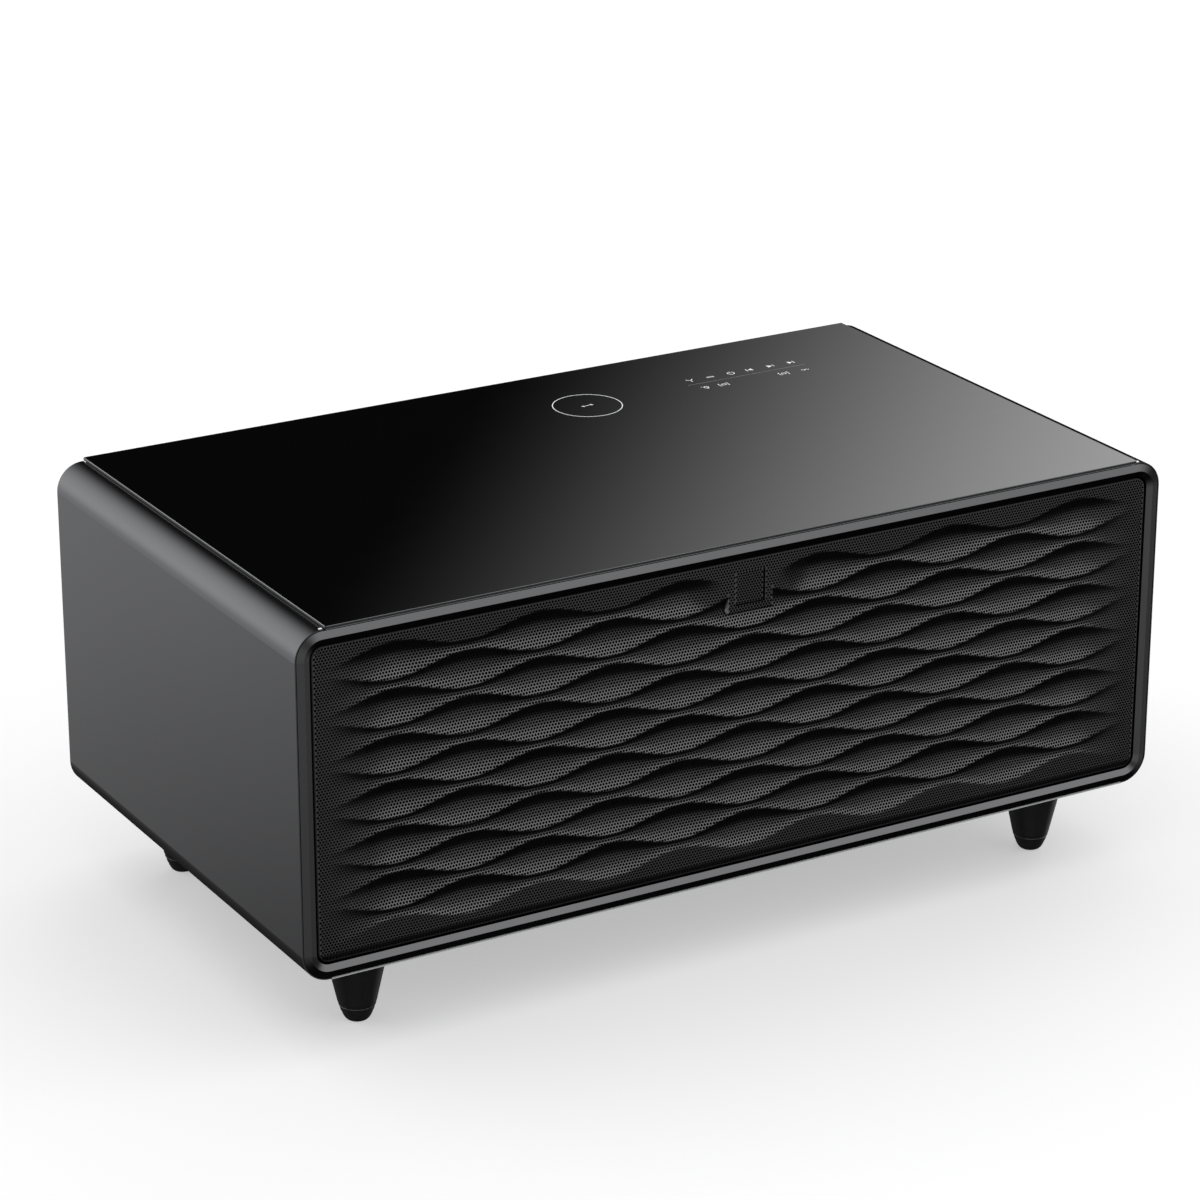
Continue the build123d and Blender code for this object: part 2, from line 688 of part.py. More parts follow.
with BuildPart() as one_woofer:
    # basket and magnet, opening towards the front; built with its axis on Z, front at z = 0
    with BuildSketch(Plane.XZ):
        with BuildLine():
            Polyline((29.5, 2.6), (35.0, 2.6), (35.0, 0.0), (30.8, 0.0), (18.0, -22.0), (24.0, -22.0), (24.0, -40.0), (0, -40.0),
                     (0, -24.0), (14.0, -24.0), (29.5, -1.0), close=True)
        make_face()
    revolve(axis=Axis.Z)
with BuildPart() as woofer_baskets:
    for sx in (-1, 1):
        add(Plane(origin=(sx * SPK_X, SPK_FRONT, WOOFER_Z), x_dir=(1, 0, 0), z_dir=(0, -1, 0)).location * one_woofer.part)
save(woofer_baskets.part, "woofer_baskets")

with BuildPart() as one_cone:
    with BuildSketch(Plane.XZ):
        with BuildLine():
            Polyline((0, -12.0), (6.0, -13.5), (9.0, -17.0), (24.5, -1.0), (27.0, 0.6), (29.5, 0.2), (29.5, 1.0), (27.0, 1.6), (24.2, 0.4),
                     (9.0, -15.6), (6.0, -12.3), (0, -10.8), close=True)
        make_face()
    revolve(axis=Axis.Z)
with BuildPart() as woofer_cones:
    for sx in (-1, 1):
        add(Plane(origin=(sx * SPK_X, SPK_FRONT, WOOFER_Z), x_dir=(1, 0, 0), z_dir=(0, -1, 0)).location * one_cone.part)
save(woofer_cones.part, "woofer_cones")

with BuildPart() as one_tweeter:
    with BuildSketch(Plane.XZ):
        with BuildLine():
            Polyline((0, 2.0), (8.0, 1.0), (10.5, -0.6), (14.0, 2.2), (18.0, 2.2), (18.0, 0.0), (14.6, 0.0), (14.6, -16.0), (0, -16.0), close=True)
        make_face()
    revolve(axis=Axis.Z)
with BuildPart() as tweeters:
    for sx in (-1, 1):
        add(Plane(origin=(sx * SPK_X, SPK_FRONT, TWEETER_Z), x_dir=(1, 0, 0), z_dir=(0, -1, 0)).location * one_tweeter.part)
save(tweeters.part, "tweeters")

# ---------------------------------------------------------------- machine bay
with BuildPart() as machine_tray:
    with BuildSketch(Plane.XY.offset(81)):
        with Locations((0, 165)):
            RectangleRounded(660, 118, 6)
    extrude(amount=2)
    with BuildSketch(Plane.XY.offset(83)):
        with Locations((0, 165)):
            RectangleRounded(660, 118, 6)
            RectangleRounded(656, 114, 4, mode=Mode.SUBTRACT)
    extrude(amount=5)
    # post that carries the filter drier
    with Locations((96, 214, 106)):
        Box(10, 14, 46)
    with BuildSketch(Plane.XY.offset(129)):
        with Locations((96, 214)):
            Circle(3)
    extrude(amount=1)
save(machine_tray.part, "machine_tray")

CX, CY = 205.0, 170.0
with BuildPart() as compressor:
    with BuildSketch(Plane.XZ):
        with BuildLine():
            Polyline((0, 108), (40, 108), (56, 118), (58, 130), (58, 178), (62, 178), (62, 182), (58, 182), (58, 222), (52, 238), (34, 248), (0, 250), close=True)
        make_face()
    revolve(axis=Axis.Z)
with BuildPart() as compressor_placed:
    add(compressor.part.moved(Location((CX, CY, 0))))
    # mounting bracket
    with BuildSketch(Plane.XY.offset(105)):
        with Locations((CX, CY)):
            RectangleRounded(150, 112, 10)
    extrude(amount=3.2)
    with BuildSketch(Plane.XY.offset(100)):
        with Locations((CX, CY)):
            with GridLocations(122, 84, 2, 2):
                Circle(5.0)
    extrude(amount=20, mode=Mode.SUBTRACT)
    # terminal cover and start relay on the left flank
    with Locations((CX - 64, CY - 8, 186)):
        Box(16, 44, 46)
    # process and suction stubs
    with BuildSketch(Plane.XY.offset(236)):
        with Locations((CX + 26, CY + 22), (CX + 26, CY - 22)):
            Circle(4.0)
    extrude(amount=24)
save(compressor_placed.part, "compressor")

with BuildPart() as compressor_grommets:
    for dx in (-61, 61):
        for dy in (-42, 42):
            with BuildSketch(Plane.XY.offset(83)):
                with Locations((CX + dx, CY + dy)):
                    Circle(10)
            extrude(amount=22)
            with BuildSketch(Plane.XY.offset(105)):
                with Locations((CX + dx, CY + dy)):
                    Circle(5.0)
            extrude(amount=3.2)
            with BuildSketch(Plane.XY.offset(108.2)):
                with Locations((CX + dx, CY + dy)):
                    Circle(8)
            extrude(amount=3)
save(compressor_grommets.part, "compressor_grommets")

FX, FZ = -20.0, 195.0
with BuildPart() as condenser:
    # pack of fins on serpentine tubes
    for i in range(18):
        with Locations((FX - 68 + 8 * i, 150, FZ - 12)):
            Box(0.8, 44, 166)
    for j in range(7):
        with BuildSketch(Plane.YZ.offset(FX - 74)):
            with Locations((150, FZ - 84 + 24 * j)):
                Circle(3.2)
        extrude(amount=148)
    # end plates that stand on the tray
    for x in (FX - 75, FX + 75):
        with Locations((x, 150, 190.5)):
            Box(2, 48, 215)
save(condenser.part, "condenser")

with BuildPart() as fan_shroud:
    with BuildSketch(front(180)):
        with Locations((FX, FZ)):
            RectangleRounded(156, 156, 8)
            Circle(71, mode=Mode.SUBTRACT)
    extrude(amount=-26)
    # three arms and the motor cup at the back of the frame
    with BuildSketch(front(203)):
        with Locations((FX, FZ)):
            Circle(20)
    extrude(amount=-3)
    with BuildSketch(front(203)):
        with Locations((FX, FZ)):
            with PolarLocations(45, 3, start_angle=90):
                Rectangle(54, 7)
    extrude(amount=-3)
    # stand
    with Locations((FX, 193, 100)):
        Box(120, 20, 34)
save(fan_shroud.part, "fan_shroud")

with BuildPart() as fan_motor:
    with BuildSketch(front(203)):
        with Locations((FX, FZ)):
            Circle(14)
    extrude(amount=12)
    with BuildSketch(front(191)):
        with Locations((FX, FZ)):
            Circle(1.5)
    extrude(amount=6)
save(fan_motor.part, "fan_motor")

with BuildPart() as fan_rotor:
    with BuildSketch(front(184)):
        with Locations((FX, FZ)):
            Circle(19)
    extrude(amount=-17)
    with BuildSketch(front(188.6)):
        with Locations((FX, FZ)):
            Circle(15.5)
    extrude(amount=-14, mode=Mode.SUBTRACT)
    with BuildSketch(front(184)):
        with Locations((FX, FZ)):
            Circle(1.56)
    extrude(amount=-8, mode=Mode.SUBTRACT)
    for k in range(7):
        a = 360.0 / 7 * k
        blade = Plane(origin=(FX, 192.5, FZ), x_dir=(math.cos(math.radians(a)), 0, math.sin(math.radians(a))),
                      z_dir=(0, -1, 0)).rotated((0, 0, 0))
        r = Vector(math.cos(math.radians(a)), 0, math.sin(math.radians(a)))
        t = Vector(-math.sin(math.radians(a)), 0, math.cos(math.radians(a)))
        up = (t * math.cos(math.radians(32)) + Vector(0, 1, 0) * math.sin(math.radians(32))).normalized()
        at = Vector(FX, 192.5, FZ) + r * 42.5
        with BuildSketch(Plane(origin=at, x_dir=r, z_dir=r.cross(up))):
            with BuildLine():
                Polyline((-25.0, -7.0), (23.0, -11.0), (25.0, 10.0), (-25.0, 7.0), close=True)
            make_face()
        extrude(amount=0.7, both=True)
save(fan_rotor.part, "fan_rotor")

with BuildPart() as filter_drier:
    with BuildSketch(Plane.XZ):
        with BuildLine():
            Polyline((0, 0), (3, 0), (3, 8), (9, 16), (9, 84), (3, 92), (3, 100), (0, 100), close=True)
        make_face()
    revolve(axis=Axis.Z)
with BuildPart() as filter_drier_placed:
    add(filter_drier.part.moved(Location((96, 214, 130))))
save(filter_drier_placed.part, "filter_drier")

# pipes: straight runs joined by tangent arcs
with BuildPart() as discharge_tube:
    with BuildLine() as run:
        FilletPolyline((CX + 26, CY - 22, 260), (CX + 26, CY - 22, 290), (FX + 76, CY - 22, 290), radius=12)
    with BuildSketch(Plane(origin=run.line @ 0, z_dir=run.line % 0)):
        Circle(3.0)
    sweep()

with BuildPart() as suction_tube:
    with BuildLine() as run:
        FilletPolyline((CX + 26, CY + 22, 260), (CX + 26, CY + 22, 316), (CX + 60, 150, 330), (CX + 60, FOAM_BACK, 330), radius=12)
    with BuildSketch(Plane(origin=run.line @ 0, z_dir=run.line % 0)):
        Circle(4.0)
    sweep()

with BuildPart() as refrigerant_tubes:
    add(discharge_tube.part)
    add(suction_tube.part)
save(refrigerant_tubes.part, "refrigerant_tubes")

with BuildPart() as drip_tray:
    with BuildSketch(Plane.XY.offset(250)):
        with Locations((CX - 28, CY)):
            RectangleRounded(92, 96, 6)
    extrude(amount=22)
    with BuildSketch(Plane.XY.offset(252)):
        with Locations((CX - 28, CY)):
            RectangleRounded(88, 92, 4)
    extrude(amount=22, mode=Mode.SUBTRACT)
save(drip_tray.part, "drip_tray")

with BuildPart() as power_supply:
    with Locations((-210, 165, 106)):
        Box(150, 90, 46)
    with BuildSketch(Plane.XY.offset(129)):
        with Locations((-210, 165)):
            with GridLocations(9, 24, 14, 3):
                SlotOverall(18, 3, rotation=90)
    extrude(amount=-1.2, mode=Mode.SUBTRACT)
save(power_supply.part, "power_supply")

with BuildPart() as main_board:
    # board on four posts on the back of the cabinet
    with Locations((-225, 107.2, 245)):
        Box(170, 1.6, 130)
    for x in (-300, -150):
        for z in (188, 302):
            with BuildSketch(front(FOAM_BACK)):
                with Locations((x, z)):
                    Circle(3)
            extrude(amount=-6.4)
    for x, z, w, h, t in ((-285, 270, 26, 26, 18), (-250, 270, 20, 30, 12), (-200, 225, 34, 34, 3), (-170, 280, 16, 40, 14), (-270, 215, 40, 18, 9)):
        with Locations((x, 108.0 + t / 2, z)):
            Box(w, t, h)
save(main_board.part, "main_board")

with BuildPart() as amplifier_board:
    with Locations((60, 107.2, 352)):
        Box(120, 1.6, 50)
    for x in (8, 112):
        for z in (334, 370):
            with BuildSketch(front(FOAM_BACK)):
                with Locations((x, z)):
                    Circle(3)
            extrude(amount=-6.4)
    for i in range(6):
        with Locations((30 + 5 * i, 116.0, 352)):
            Box(1.6, 16, 36)
    with Locations((42.5, 109.0, 352)):
        Box(34, 2.0, 36)
save(amplifier_board.part, "amplifier_board")

# ---------------------------------------------------------------- mains inlet and switch
with BuildPart() as mains_inlet:
    with BuildSketch(front(PANEL_Y + PANEL_T)):
        with Locations((INLET_X, MAINS_Z)):
            RectangleRounded(34, 27, 3)
    extrude(amount=-2.0)
    with BuildSketch(front(PANEL_Y + PANEL_T)):
        with Locations((INLET_X, MAINS_Z)):
            RectangleRounded(28, 20.4, 3)
    extrude(amount=20)
    with BuildSketch(front(PANEL_Y + PANEL_T + 2.0)):
        with BuildLine():
            x0, z0 = INLET_X, MAINS_Z
            Polyline((x0 - 11, z0 - 7.5), (x0 + 11, z0 - 7.5), (x0 + 11, z0 + 2.5), (x0 + 6, z0 + 7.5), (x0 - 6, z0 + 7.5), (x0 - 11, z0 + 2.5), close=True)
        make_face()
    extrude(amount=17, mode=Mode.SUBTRACT)
    with BuildSketch(front(PANEL_Y + PANEL_T - 1.0)):
        with Locations((INLET_X - 6.5, MAINS_Z - 2.2), (INLET_X, MAINS_Z + 2.4), (INLET_X + 6.5, MAINS_Z - 2.2)):
            Rectangle(2.0, 4.0)
    extrude(amount=16)
save(mains_inlet.part, "mains_inlet")

with BuildPart() as switch_housing:
    with BuildSketch(front(PANEL_Y + PANEL_T)):
        with Locations((SWITCH_X, MAINS_Z)):
            RectangleRounded(23, 17, 1.5)
    extrude(amount=-1.6)
    with BuildSketch(front(PANEL_Y + PANEL_T)):
        with Locations((SWITCH_X, MAINS_Z)):
            Rectangle(19, 13)
    extrude(amount=15)
    with BuildSketch(front(PANEL_Y + PANEL_T + 1.6)):
        with Locations((SWITCH_X, MAINS_Z)):
            Rectangle(16.4, 10.4)
    extrude(amount=13.6, mode=Mode.SUBTRACT)
    # bearing holes for the rocker's pins
    with BuildSketch(Plane.XY.offset(MAINS_Z - 6.6)):
        with Locations((SWITCH_X, 243.0)):
            Circle(1.25)
    extrude(amount=13.2, mode=Mode.SUBTRACT)
save(switch_housing.part, "switch_housing")

with BuildPart() as rocker_raw:
    with BuildSketch(Plane.XY.offset(MAINS_Z - 4.9)):
        with BuildLine():
            x0, y0 = SWITCH_X, 243.0
            Polyline((x0 - 7.4, y0 + 5.9), (x0, y0 + 4.2), (x0 + 7.4, y0 + 5.9), (x0 + 7.0, y0 + 0.5), (x0 + 3.0, y0 - 2.6), (x0 - 3.0, y0 - 2.6), (x0 - 7.0, y0 + 0.5), close=True)
        make_face()
    extrude(amount=9.8)
    with BuildSketch(Plane.XY.offset(MAINS_Z - 6.3)):
        with Locations((SWITCH_X, 243.0)):
            Circle(1.2)
    extrude(amount=12.6)
with BuildPart() as rocker_switch:
    # at rest it lies tipped to one side by half of its throw
    add(rocker_raw.part.rotate(Axis((SWITCH_X, 243.0, MAINS_Z), (0, 0, 1)), -8))
save(rocker_switch.part, "rocker_switch")

print("written", len(os.listdir("parts")), "parts")
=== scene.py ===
import math

import bpy
import numpy as np
from mathutils import Matrix, Vector


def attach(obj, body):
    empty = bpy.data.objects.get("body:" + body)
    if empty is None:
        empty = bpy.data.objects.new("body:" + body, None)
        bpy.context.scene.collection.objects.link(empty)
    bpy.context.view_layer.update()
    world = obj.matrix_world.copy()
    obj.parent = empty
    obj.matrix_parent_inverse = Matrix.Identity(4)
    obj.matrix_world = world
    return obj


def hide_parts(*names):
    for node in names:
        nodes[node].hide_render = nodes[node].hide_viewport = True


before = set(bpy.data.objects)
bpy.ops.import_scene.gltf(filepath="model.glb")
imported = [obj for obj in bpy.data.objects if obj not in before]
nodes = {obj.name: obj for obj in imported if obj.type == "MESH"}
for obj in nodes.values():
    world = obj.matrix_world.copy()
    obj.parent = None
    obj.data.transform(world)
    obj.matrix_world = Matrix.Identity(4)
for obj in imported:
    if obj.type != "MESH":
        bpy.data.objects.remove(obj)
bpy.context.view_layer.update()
scene = bpy.context.scene
MM = 0.001


# ---------------------------------------------------------------- camera
def camera():
    data = bpy.data.cameras.new("camera")
    data.sensor_fit = "HORIZONTAL"
    data.sensor_width = 36.0
    data.lens = 125.68
    data.clip_start = 0.1
    data.clip_end = 200.0
    cam = bpy.data.objects.new("camera", data)
    scene.collection.objects.link(cam)
    az, el, roll = (math.radians(a) for a in (30.240, 21.011, 0.052))
    f = Vector((math.sin(az) * math.cos(el), math.cos(az) * math.cos(el), -math.sin(el)))
    r = f.cross(Vector((0, 0, 1))).normalized()
    u = r.cross(f)
    r2 = r * math.cos(roll) + u * math.sin(roll)
    u2 = u * math.cos(roll) - r * math.sin(roll)
    m = Matrix((r2, u2, -f)).transposed().to_4x4()
    m.translation = Vector((-1.8634, -3.1789, 1.6816))
    cam.matrix_world = m
    scene.camera = cam


camera()


# ---------------------------------------------------------------- node helpers
class Tree:
    """Short calls for building a node tree."""

    def __init__(self, tree):
        self.t = tree

    def node(self, kind, **props):
        n = self.t.nodes.new(kind)
        for k, v in props.items():
            setattr(n, k, v)
        return n

    def put(self, socket, value):
        if hasattr(value, "is_output"):
            self.t.links.new(value, socket)
        else:
            socket.default_value = value

    def math(self, op, a, b=0.0, c=0.0, clamp=False):
        n = self.node("ShaderNodeMath", operation=op, use_clamp=clamp)
        for s, v in zip(n.inputs, (a, b, c)):
            self.put(s, v)
        return n.outputs[0]

    def smooth(self, x, lo, hi, out_lo=0.0, out_hi=1.0):
        n = self.node("ShaderNodeMapRange", interpolation_type="SMOOTHSTEP")
        self.put(n.inputs["Value"], x)
        n.inputs["From Min"].default_value = lo
        n.inputs["From Max"].default_value = hi
        n.inputs["To Min"].default_value = out_lo
        n.inputs["To Max"].default_value = out_hi
        return n.outputs["Result"]

    def noise(self, vector, scale, detail=3.0, rough=0.55):
        n = self.node("ShaderNodeTexNoise")
        self.put(n.inputs["Vector"], vector)
        n.inputs["Scale"].default_value = scale
        n.inputs["Detail"].default_value = detail
        n.inputs["Roughness"].default_value = rough
        return n.outputs["Fac"]

    def span(self, x, lo, hi):
        """Noise near 0.5 spread to the range lo..hi."""
        n = self.node("ShaderNodeMapRange")
        self.put(n.inputs["Value"], x)
        n.inputs["From Min"].default_value = 0.3
        n.inputs["From Max"].default_value = 0.7
        n.inputs["To Min"].default_value = lo
        n.inputs["To Max"].default_value = hi
        return n.outputs["Result"]

    def curve(self, x, lo, hi, points):
        """A broken line through (x, y) points between lo and hi, with y from 0 to 1."""
        n = self.node("ShaderNodeValToRGB")
        self.put(n.inputs["Fac"], self.math("DIVIDE", self.math("SUBTRACT", x, lo), hi - lo))
        ramp = n.color_ramp
        while len(ramp.elements) < len(points):
            ramp.elements.new(0.5)
        for e, (px, py) in zip(ramp.elements, points):
            e.position = (px - lo) / (hi - lo)
        for e, (px, py) in zip(ramp.elements, points):
            e.color = (py, py, py, 1.0)
        return n.outputs["Color"]

    def tint(self, fac, a, b):
        n = self.node("ShaderNodeMix", data_type="RGBA")
        self.put(n.inputs["Factor"], fac)
        n.inputs[6].default_value = (*a, 1.0)
        n.inputs[7].default_value = (*b, 1.0)
        return n.outputs[2]


def finish_of(
    name,
    colour,
    rough,
    spread=0.06,
    metallic=0.0,
    specular=0.5,
    grain=(900.0, 0.00002),
    mottle=(9.0, 0.08),
    coat=0.0,
    coat_rough=0.1,
    brushed=None,
    sheen=0.0,
    ior=1.5,
):
    """A procedural finish: slow colour drift, patchy roughness and a fine surface grain, all in object space."""
    m = bpy.data.materials.new(name)
    m.use_nodes = True
    m.node_tree.nodes.clear()
    t = Tree(m.node_tree)
    out = t.node("ShaderNodeOutputMaterial")
    b = t.node("ShaderNodeBsdfPrincipled")
    t.t.links.new(b.outputs["BSDF"], out.inputs["Surface"])
    where = t.node("ShaderNodeTexCoord").outputs["Object"]
    if brushed:
        stretch = t.node("ShaderNodeMapping")
        t.put(stretch.inputs["Vector"], where)
        stretch.inputs["Scale"].default_value = brushed
        grain_at = stretch.outputs["Vector"]
    else:
        grain_at = where
    slow = t.noise(where, mottle[0], 4.0)
    k = mottle[1]
    dark = tuple(max(0.0, c * (1 - k)) for c in colour)
    light = tuple(min(1.0, c * (1 + k)) for c in colour)
    t.put(b.inputs["Base Color"], t.tint(t.span(slow, 0.0, 1.0), dark, light))
    fine = t.noise(grain_at, grain[0], 2.0)
    patch = t.noise(where, mottle[0] * 4.0, 3.0)
    mixed = t.math("ADD", t.math("MULTIPLY", fine, 0.5), t.math("MULTIPLY", patch, 0.5))
    t.put(b.inputs["Roughness"], t.span(mixed, max(0.02, rough - spread), min(1.0, rough + spread)))
    if grain[1]:
        bump = t.node("ShaderNodeBump")
        bump.inputs["Strength"].default_value = 1.0
        bump.inputs["Distance"].default_value = grain[1]
        t.put(bump.inputs["Height"], fine)
        t.put(b.inputs["Normal"], bump.outputs["Normal"])
    b.inputs["Metallic"].default_value = metallic
    b.inputs["Specular IOR Level"].default_value = specular
    b.inputs["IOR"].default_value = ior
    b.inputs["Coat Weight"].default_value = coat
    b.inputs["Coat Roughness"].default_value = coat_rough
    b.inputs["Sheen Weight"].default_value = sheen
    return m


# ---------------------------------------------------------------- materials of the record's slots
MATS = {
    "casing_paint": finish_of("casing_paint", (0.0975, 0.0988, 0.1045), 0.13, 0.010, metallic=1.0, grain=(1400.0, 0.000006), mottle=(3.0, 0.03)),
    "plated_steel": finish_of("plated_steel", (0.55, 0.56, 0.58), 0.34, 0.08, metallic=1.0, grain=(700.0, 0.00001), brushed=(0.04, 1, 1)),
    "black_steel": finish_of("black_steel", (0.030, 0.030, 0.032), 0.45, 0.06, grain=(1100.0, 0.00004), mottle=(12.0, 0.08)),
    "foam_tape": finish_of("foam_tape", (0.02, 0.02, 0.02), 0.9, 0.05, grain=(500.0, 0.0002)),
    "black_glass": finish_of("black_glass", (0.0010, 0.0010, 0.0012), 0.035, 0.012, specular=0.5, grain=(40.0, 0.0), mottle=(5.0, 0.05)),
    "frame_metal": finish_of("frame_metal", (0.1000, 0.1005, 0.1030), 0.15, 0.03, metallic=1.0, grain=(1500.0, 0.000006), mottle=(4.0, 0.03)),
    "screw_steel": finish_of("screw_steel", (0.28, 0.28, 0.29), 0.35, 0.08, metallic=1.0, grain=(2500.0, 0.00001)),
    "foot_plastic": finish_of("foot_plastic", (0.012, 0.012, 0.013), 0.30, 0.04, grain=(1600.0, 0.000012), mottle=(20.0, 0.08)),
    "foot_rubber": finish_of("foot_rubber", (0.010, 0.010, 0.010), 0.42, 0.05, grain=(1200.0, 0.00004)),
    "black_plastic": finish_of("black_plastic", (0.022, 0.022, 0.024), 0.42, 0.06, grain=(1500.0, 0.00004)),
    "circuit_board": finish_of("circuit_board", (0.015, 0.09, 0.04), 0.35, 0.08, grain=(220.0, 0.00005), mottle=(160.0, 0.35)),
    "copper": finish_of("copper", (0.75, 0.36, 0.20), 0.30, 0.1, metallic=1.0, grain=(600.0, 0.00002), mottle=(40.0, 0.15)),
    "rigid_foam": finish_of("rigid_foam", (0.80, 0.76, 0.60), 0.9, 0.05, grain=(350.0, 0.0003), mottle=(25.0, 0.12)),
    "white_liner": finish_of("white_liner", (0.80, 0.81, 0.82), 0.24, 0.06, grain=(700.0, 0.00002), mottle=(6.0, 0.02)),
    "aluminium": finish_of("aluminium", (0.72, 0.73, 0.74), 0.30, 0.08, metallic=1.0, grain=(900.0, 0.00001), brushed=(0.05, 1, 1)),
    "light_lens": finish_of("light_lens", (0.88, 0.91, 0.94), 0.35, 0.05, grain=(900.0, 0.00004)),
    "slide_steel": finish_of("slide_steel", (0.60, 0.61, 0.62), 0.28, 0.08, metallic=1.0, grain=(900.0, 0.00001), brushed=(1, 0.04, 1)),
    "grille_paint": finish_of("grille_paint", (0.108, 0.108, 0.109), 0.27, 0.04, metallic=1.0, grain=(2200.0, 0.000008), mottle=(14.0, 0.05)),
    "gasket_rubber": finish_of("gasket_rubber", (0.06, 0.06, 0.064), 0.6, 0.06, grain=(900.0, 0.00004)),
    "tub_plastic": finish_of("tub_plastic", (0.78, 0.80, 0.82), 0.22, 0.05, grain=(700.0, 0.00002), mottle=(6.0, 0.02)),
    "white_plastic": finish_of("white_plastic", (0.78, 0.78, 0.77), 0.4, 0.05, grain=(1200.0, 0.00003)),
    "box_board": finish_of("box_board", (0.02, 0.02, 0.02), 0.7, 0.08, grain=(500.0, 0.00008)),
    "speaker_paper": finish_of("speaker_paper", (0.045, 0.045, 0.045), 0.8, 0.06, grain=(900.0, 0.00012), mottle=(60.0, 0.2)),
    "compressor_paint": finish_of("compressor_paint", (0.012, 0.012, 0.013), 0.22, 0.06, grain=(300.0, 0.00004)),
}
MARK_INK = finish_of("mark_ink", (0.72, 0.74, 0.77), 0.35, 0.05, grain=(900.0, 0.0), mottle=(60.0, 0.05))
FAINT_INK = finish_of("faint_ink", (0.13, 0.135, 0.14), 0.35, 0.05, grain=(900.0, 0.0), mottle=(60.0, 0.05))
# near-black for the grille sheets' hole walls and backs, and for the slot blocks: painted shade, darker than the
# grille's own paint
SHADE_BLACK = finish_of("slot_dark", (0.0025, 0.0025, 0.0025), 0.7, 0.05, specular=0.15, grain=(1200.0, 0.00003))
# the grille's rolled rim, much darker than the grille paint: painted shade in the gap at the bezel
RIM_SHADE = finish_of("rim_dark", (0.010, 0.010, 0.0105), 0.5, 0.04, specular=0.25, grain=(1500.0, 0.00001), mottle=(14.0, 0.05))
# light grey for the glass's side bevels: a painted highlight, the bright lines along the edge
EDGE_HIGHLIGHT = finish_of("glass_edge_ground", (0.17, 0.175, 0.18), 0.45, 0.05, grain=(3000.0, 0.00001), mottle=(40.0, 0.05))
EDGE_DARK = finish_of("glass_edge_dark", (0.012, 0.012, 0.0125), 0.25, 0.05, grain=(3000.0, 0.000005), mottle=(40.0, 0.05))
BASE_EDGE = finish_of("base_sheet", (0.42, 0.43, 0.44), 0.42, 0.06, metallic=0.35, grain=(900.0, 0.00001), mottle=(10.0, 0.05))

for n, o in nodes.items():
    for s in o.material_slots:
        base = s.material.name.split(".")[0] if s.material else ""
        hit = MATS.get(base)
        if hit is None:
            hit = next((v for k, v in MATS.items() if k in base), None)
        if hit is None:
            raise RuntimeError(f"no finish for {n}: {base!r}")
        s.material = hit


# ---------------------------------------------------------------- mesh helpers
def mesh_object(name, verts, faces, material, body, smooth=False, sharp=None):
    me = bpy.data.meshes.new(name)
    me.from_pydata([tuple(v) for v in verts], [], [tuple(f) for f in faces])
    me.update()
    me.materials.append(material)
    if smooth:
        me.polygons.foreach_set("use_smooth", np.ones(len(me.polygons), bool))
    ob = bpy.data.objects.new(name, me)
    scene.collection.objects.link(ob)
    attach(ob, body)
    return ob


def fast_mesh(name, verts, faces, material, body, sharp_pairs=None, second=None, second_from=None):
    """verts (n,3) in metres; faces is a list of integer arrays, each (m, corners). Faces of the arrays from second_from on take the second material."""
    loops = np.concatenate([f.ravel() for f in faces]).astype(np.int32)
    sizes = np.concatenate([np.full(len(f), f.shape[1]) for f in faces])
    starts = np.concatenate([[0], np.cumsum(sizes)[:-1]]).astype(np.int32)
    me = bpy.data.meshes.new(name)
    me.vertices.add(len(verts))
    me.vertices.foreach_set("co", np.asarray(verts, np.float32).ravel())
    me.loops.add(len(loops))
    me.loops.foreach_set("vertex_index", loops)
    me.polygons.add(len(sizes))
    me.polygons.foreach_set("loop_start", starts)
    me.update(calc_edges=True)
    me.validate()
    me.polygons.foreach_set("use_smooth", np.ones(len(me.polygons), bool))
    if sharp_pairs is not None:
        e = np.zeros(len(me.edges) * 2, np.int32)
        me.edges.foreach_get("vertices", e)
        e = np.sort(e.reshape(-1, 2), axis=1).astype(np.int64)
        key = e[:, 0] * (len(verts) + 1) + e[:, 1]
        want = np.sort(np.asarray(sharp_pairs), axis=1).astype(np.int64)
        want = np.unique(want[:, 0] * (len(verts) + 1) + want[:, 1])
        mark = np.isin(key, want)
        a = me.attributes.get("sharp_edge") or me.attributes.new("sharp_edge", "BOOLEAN", "EDGE")
        a.data.foreach_set("value", mark)
    me.materials.append(material)
    if second is not None:
        me.materials.append(second)
        first = sum(len(f) for f in faces[:second_from])
        which = np.zeros(len(me.polygons), np.int32)
        which[first:] = 1
        me.polygons.foreach_set("material_index", which)
    ob = bpy.data.objects.new(name, me)
    scene.collection.objects.link(ob)
    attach(ob, body)
    return ob


# ---------------------------------------------------------------- the wave-pressed perforated sheet
FRONT = -247.5  # the sheet's flat border plane
THICK = 0.7
HALF_U = 288
SEAT_U, PAD_U = 10, 15
WAVE = 142.8


def x_of(u):
    """Lattice half-steps to mm: a little wider about the middle, so that the seat's edges fall on it."""
    u = np.asarray(u, float)
    inner = np.clip(np.abs(u), 0, PAD_U) * 1.54
    outer = np.clip(np.abs(u) - PAD_U, 0, None) * (433.0 - PAD_U * 1.54) / (HALF_U - PAD_U)
    return np.sign(u) * (inner + outer)


Z_BREAKS = [(97.0, 338.2, 93), (338.2, 345.4, 3), (345.4, 376.8, 12), (376.8, 387.0, 4)]
Z_LINES = np.concatenate([np.linspace(a, b, n, endpoint=False) for a, b, n in Z_BREAKS] + [[387.0]])
ROWS = len(Z_LINES) - 1
R_PAD, R_SEAT0, R_SEAT1 = 93, 96, 108


def step01(x, lo, hi):
    t = np.clip((x - lo) / (hi - lo), 0, 1)
    return t * t * (3 - 2 * t)


def crest(k, x):
    return 372.9 - 21.35 * k - (-1) ** k * 6.5 * np.cos(2 * math.pi * x / WAVE)


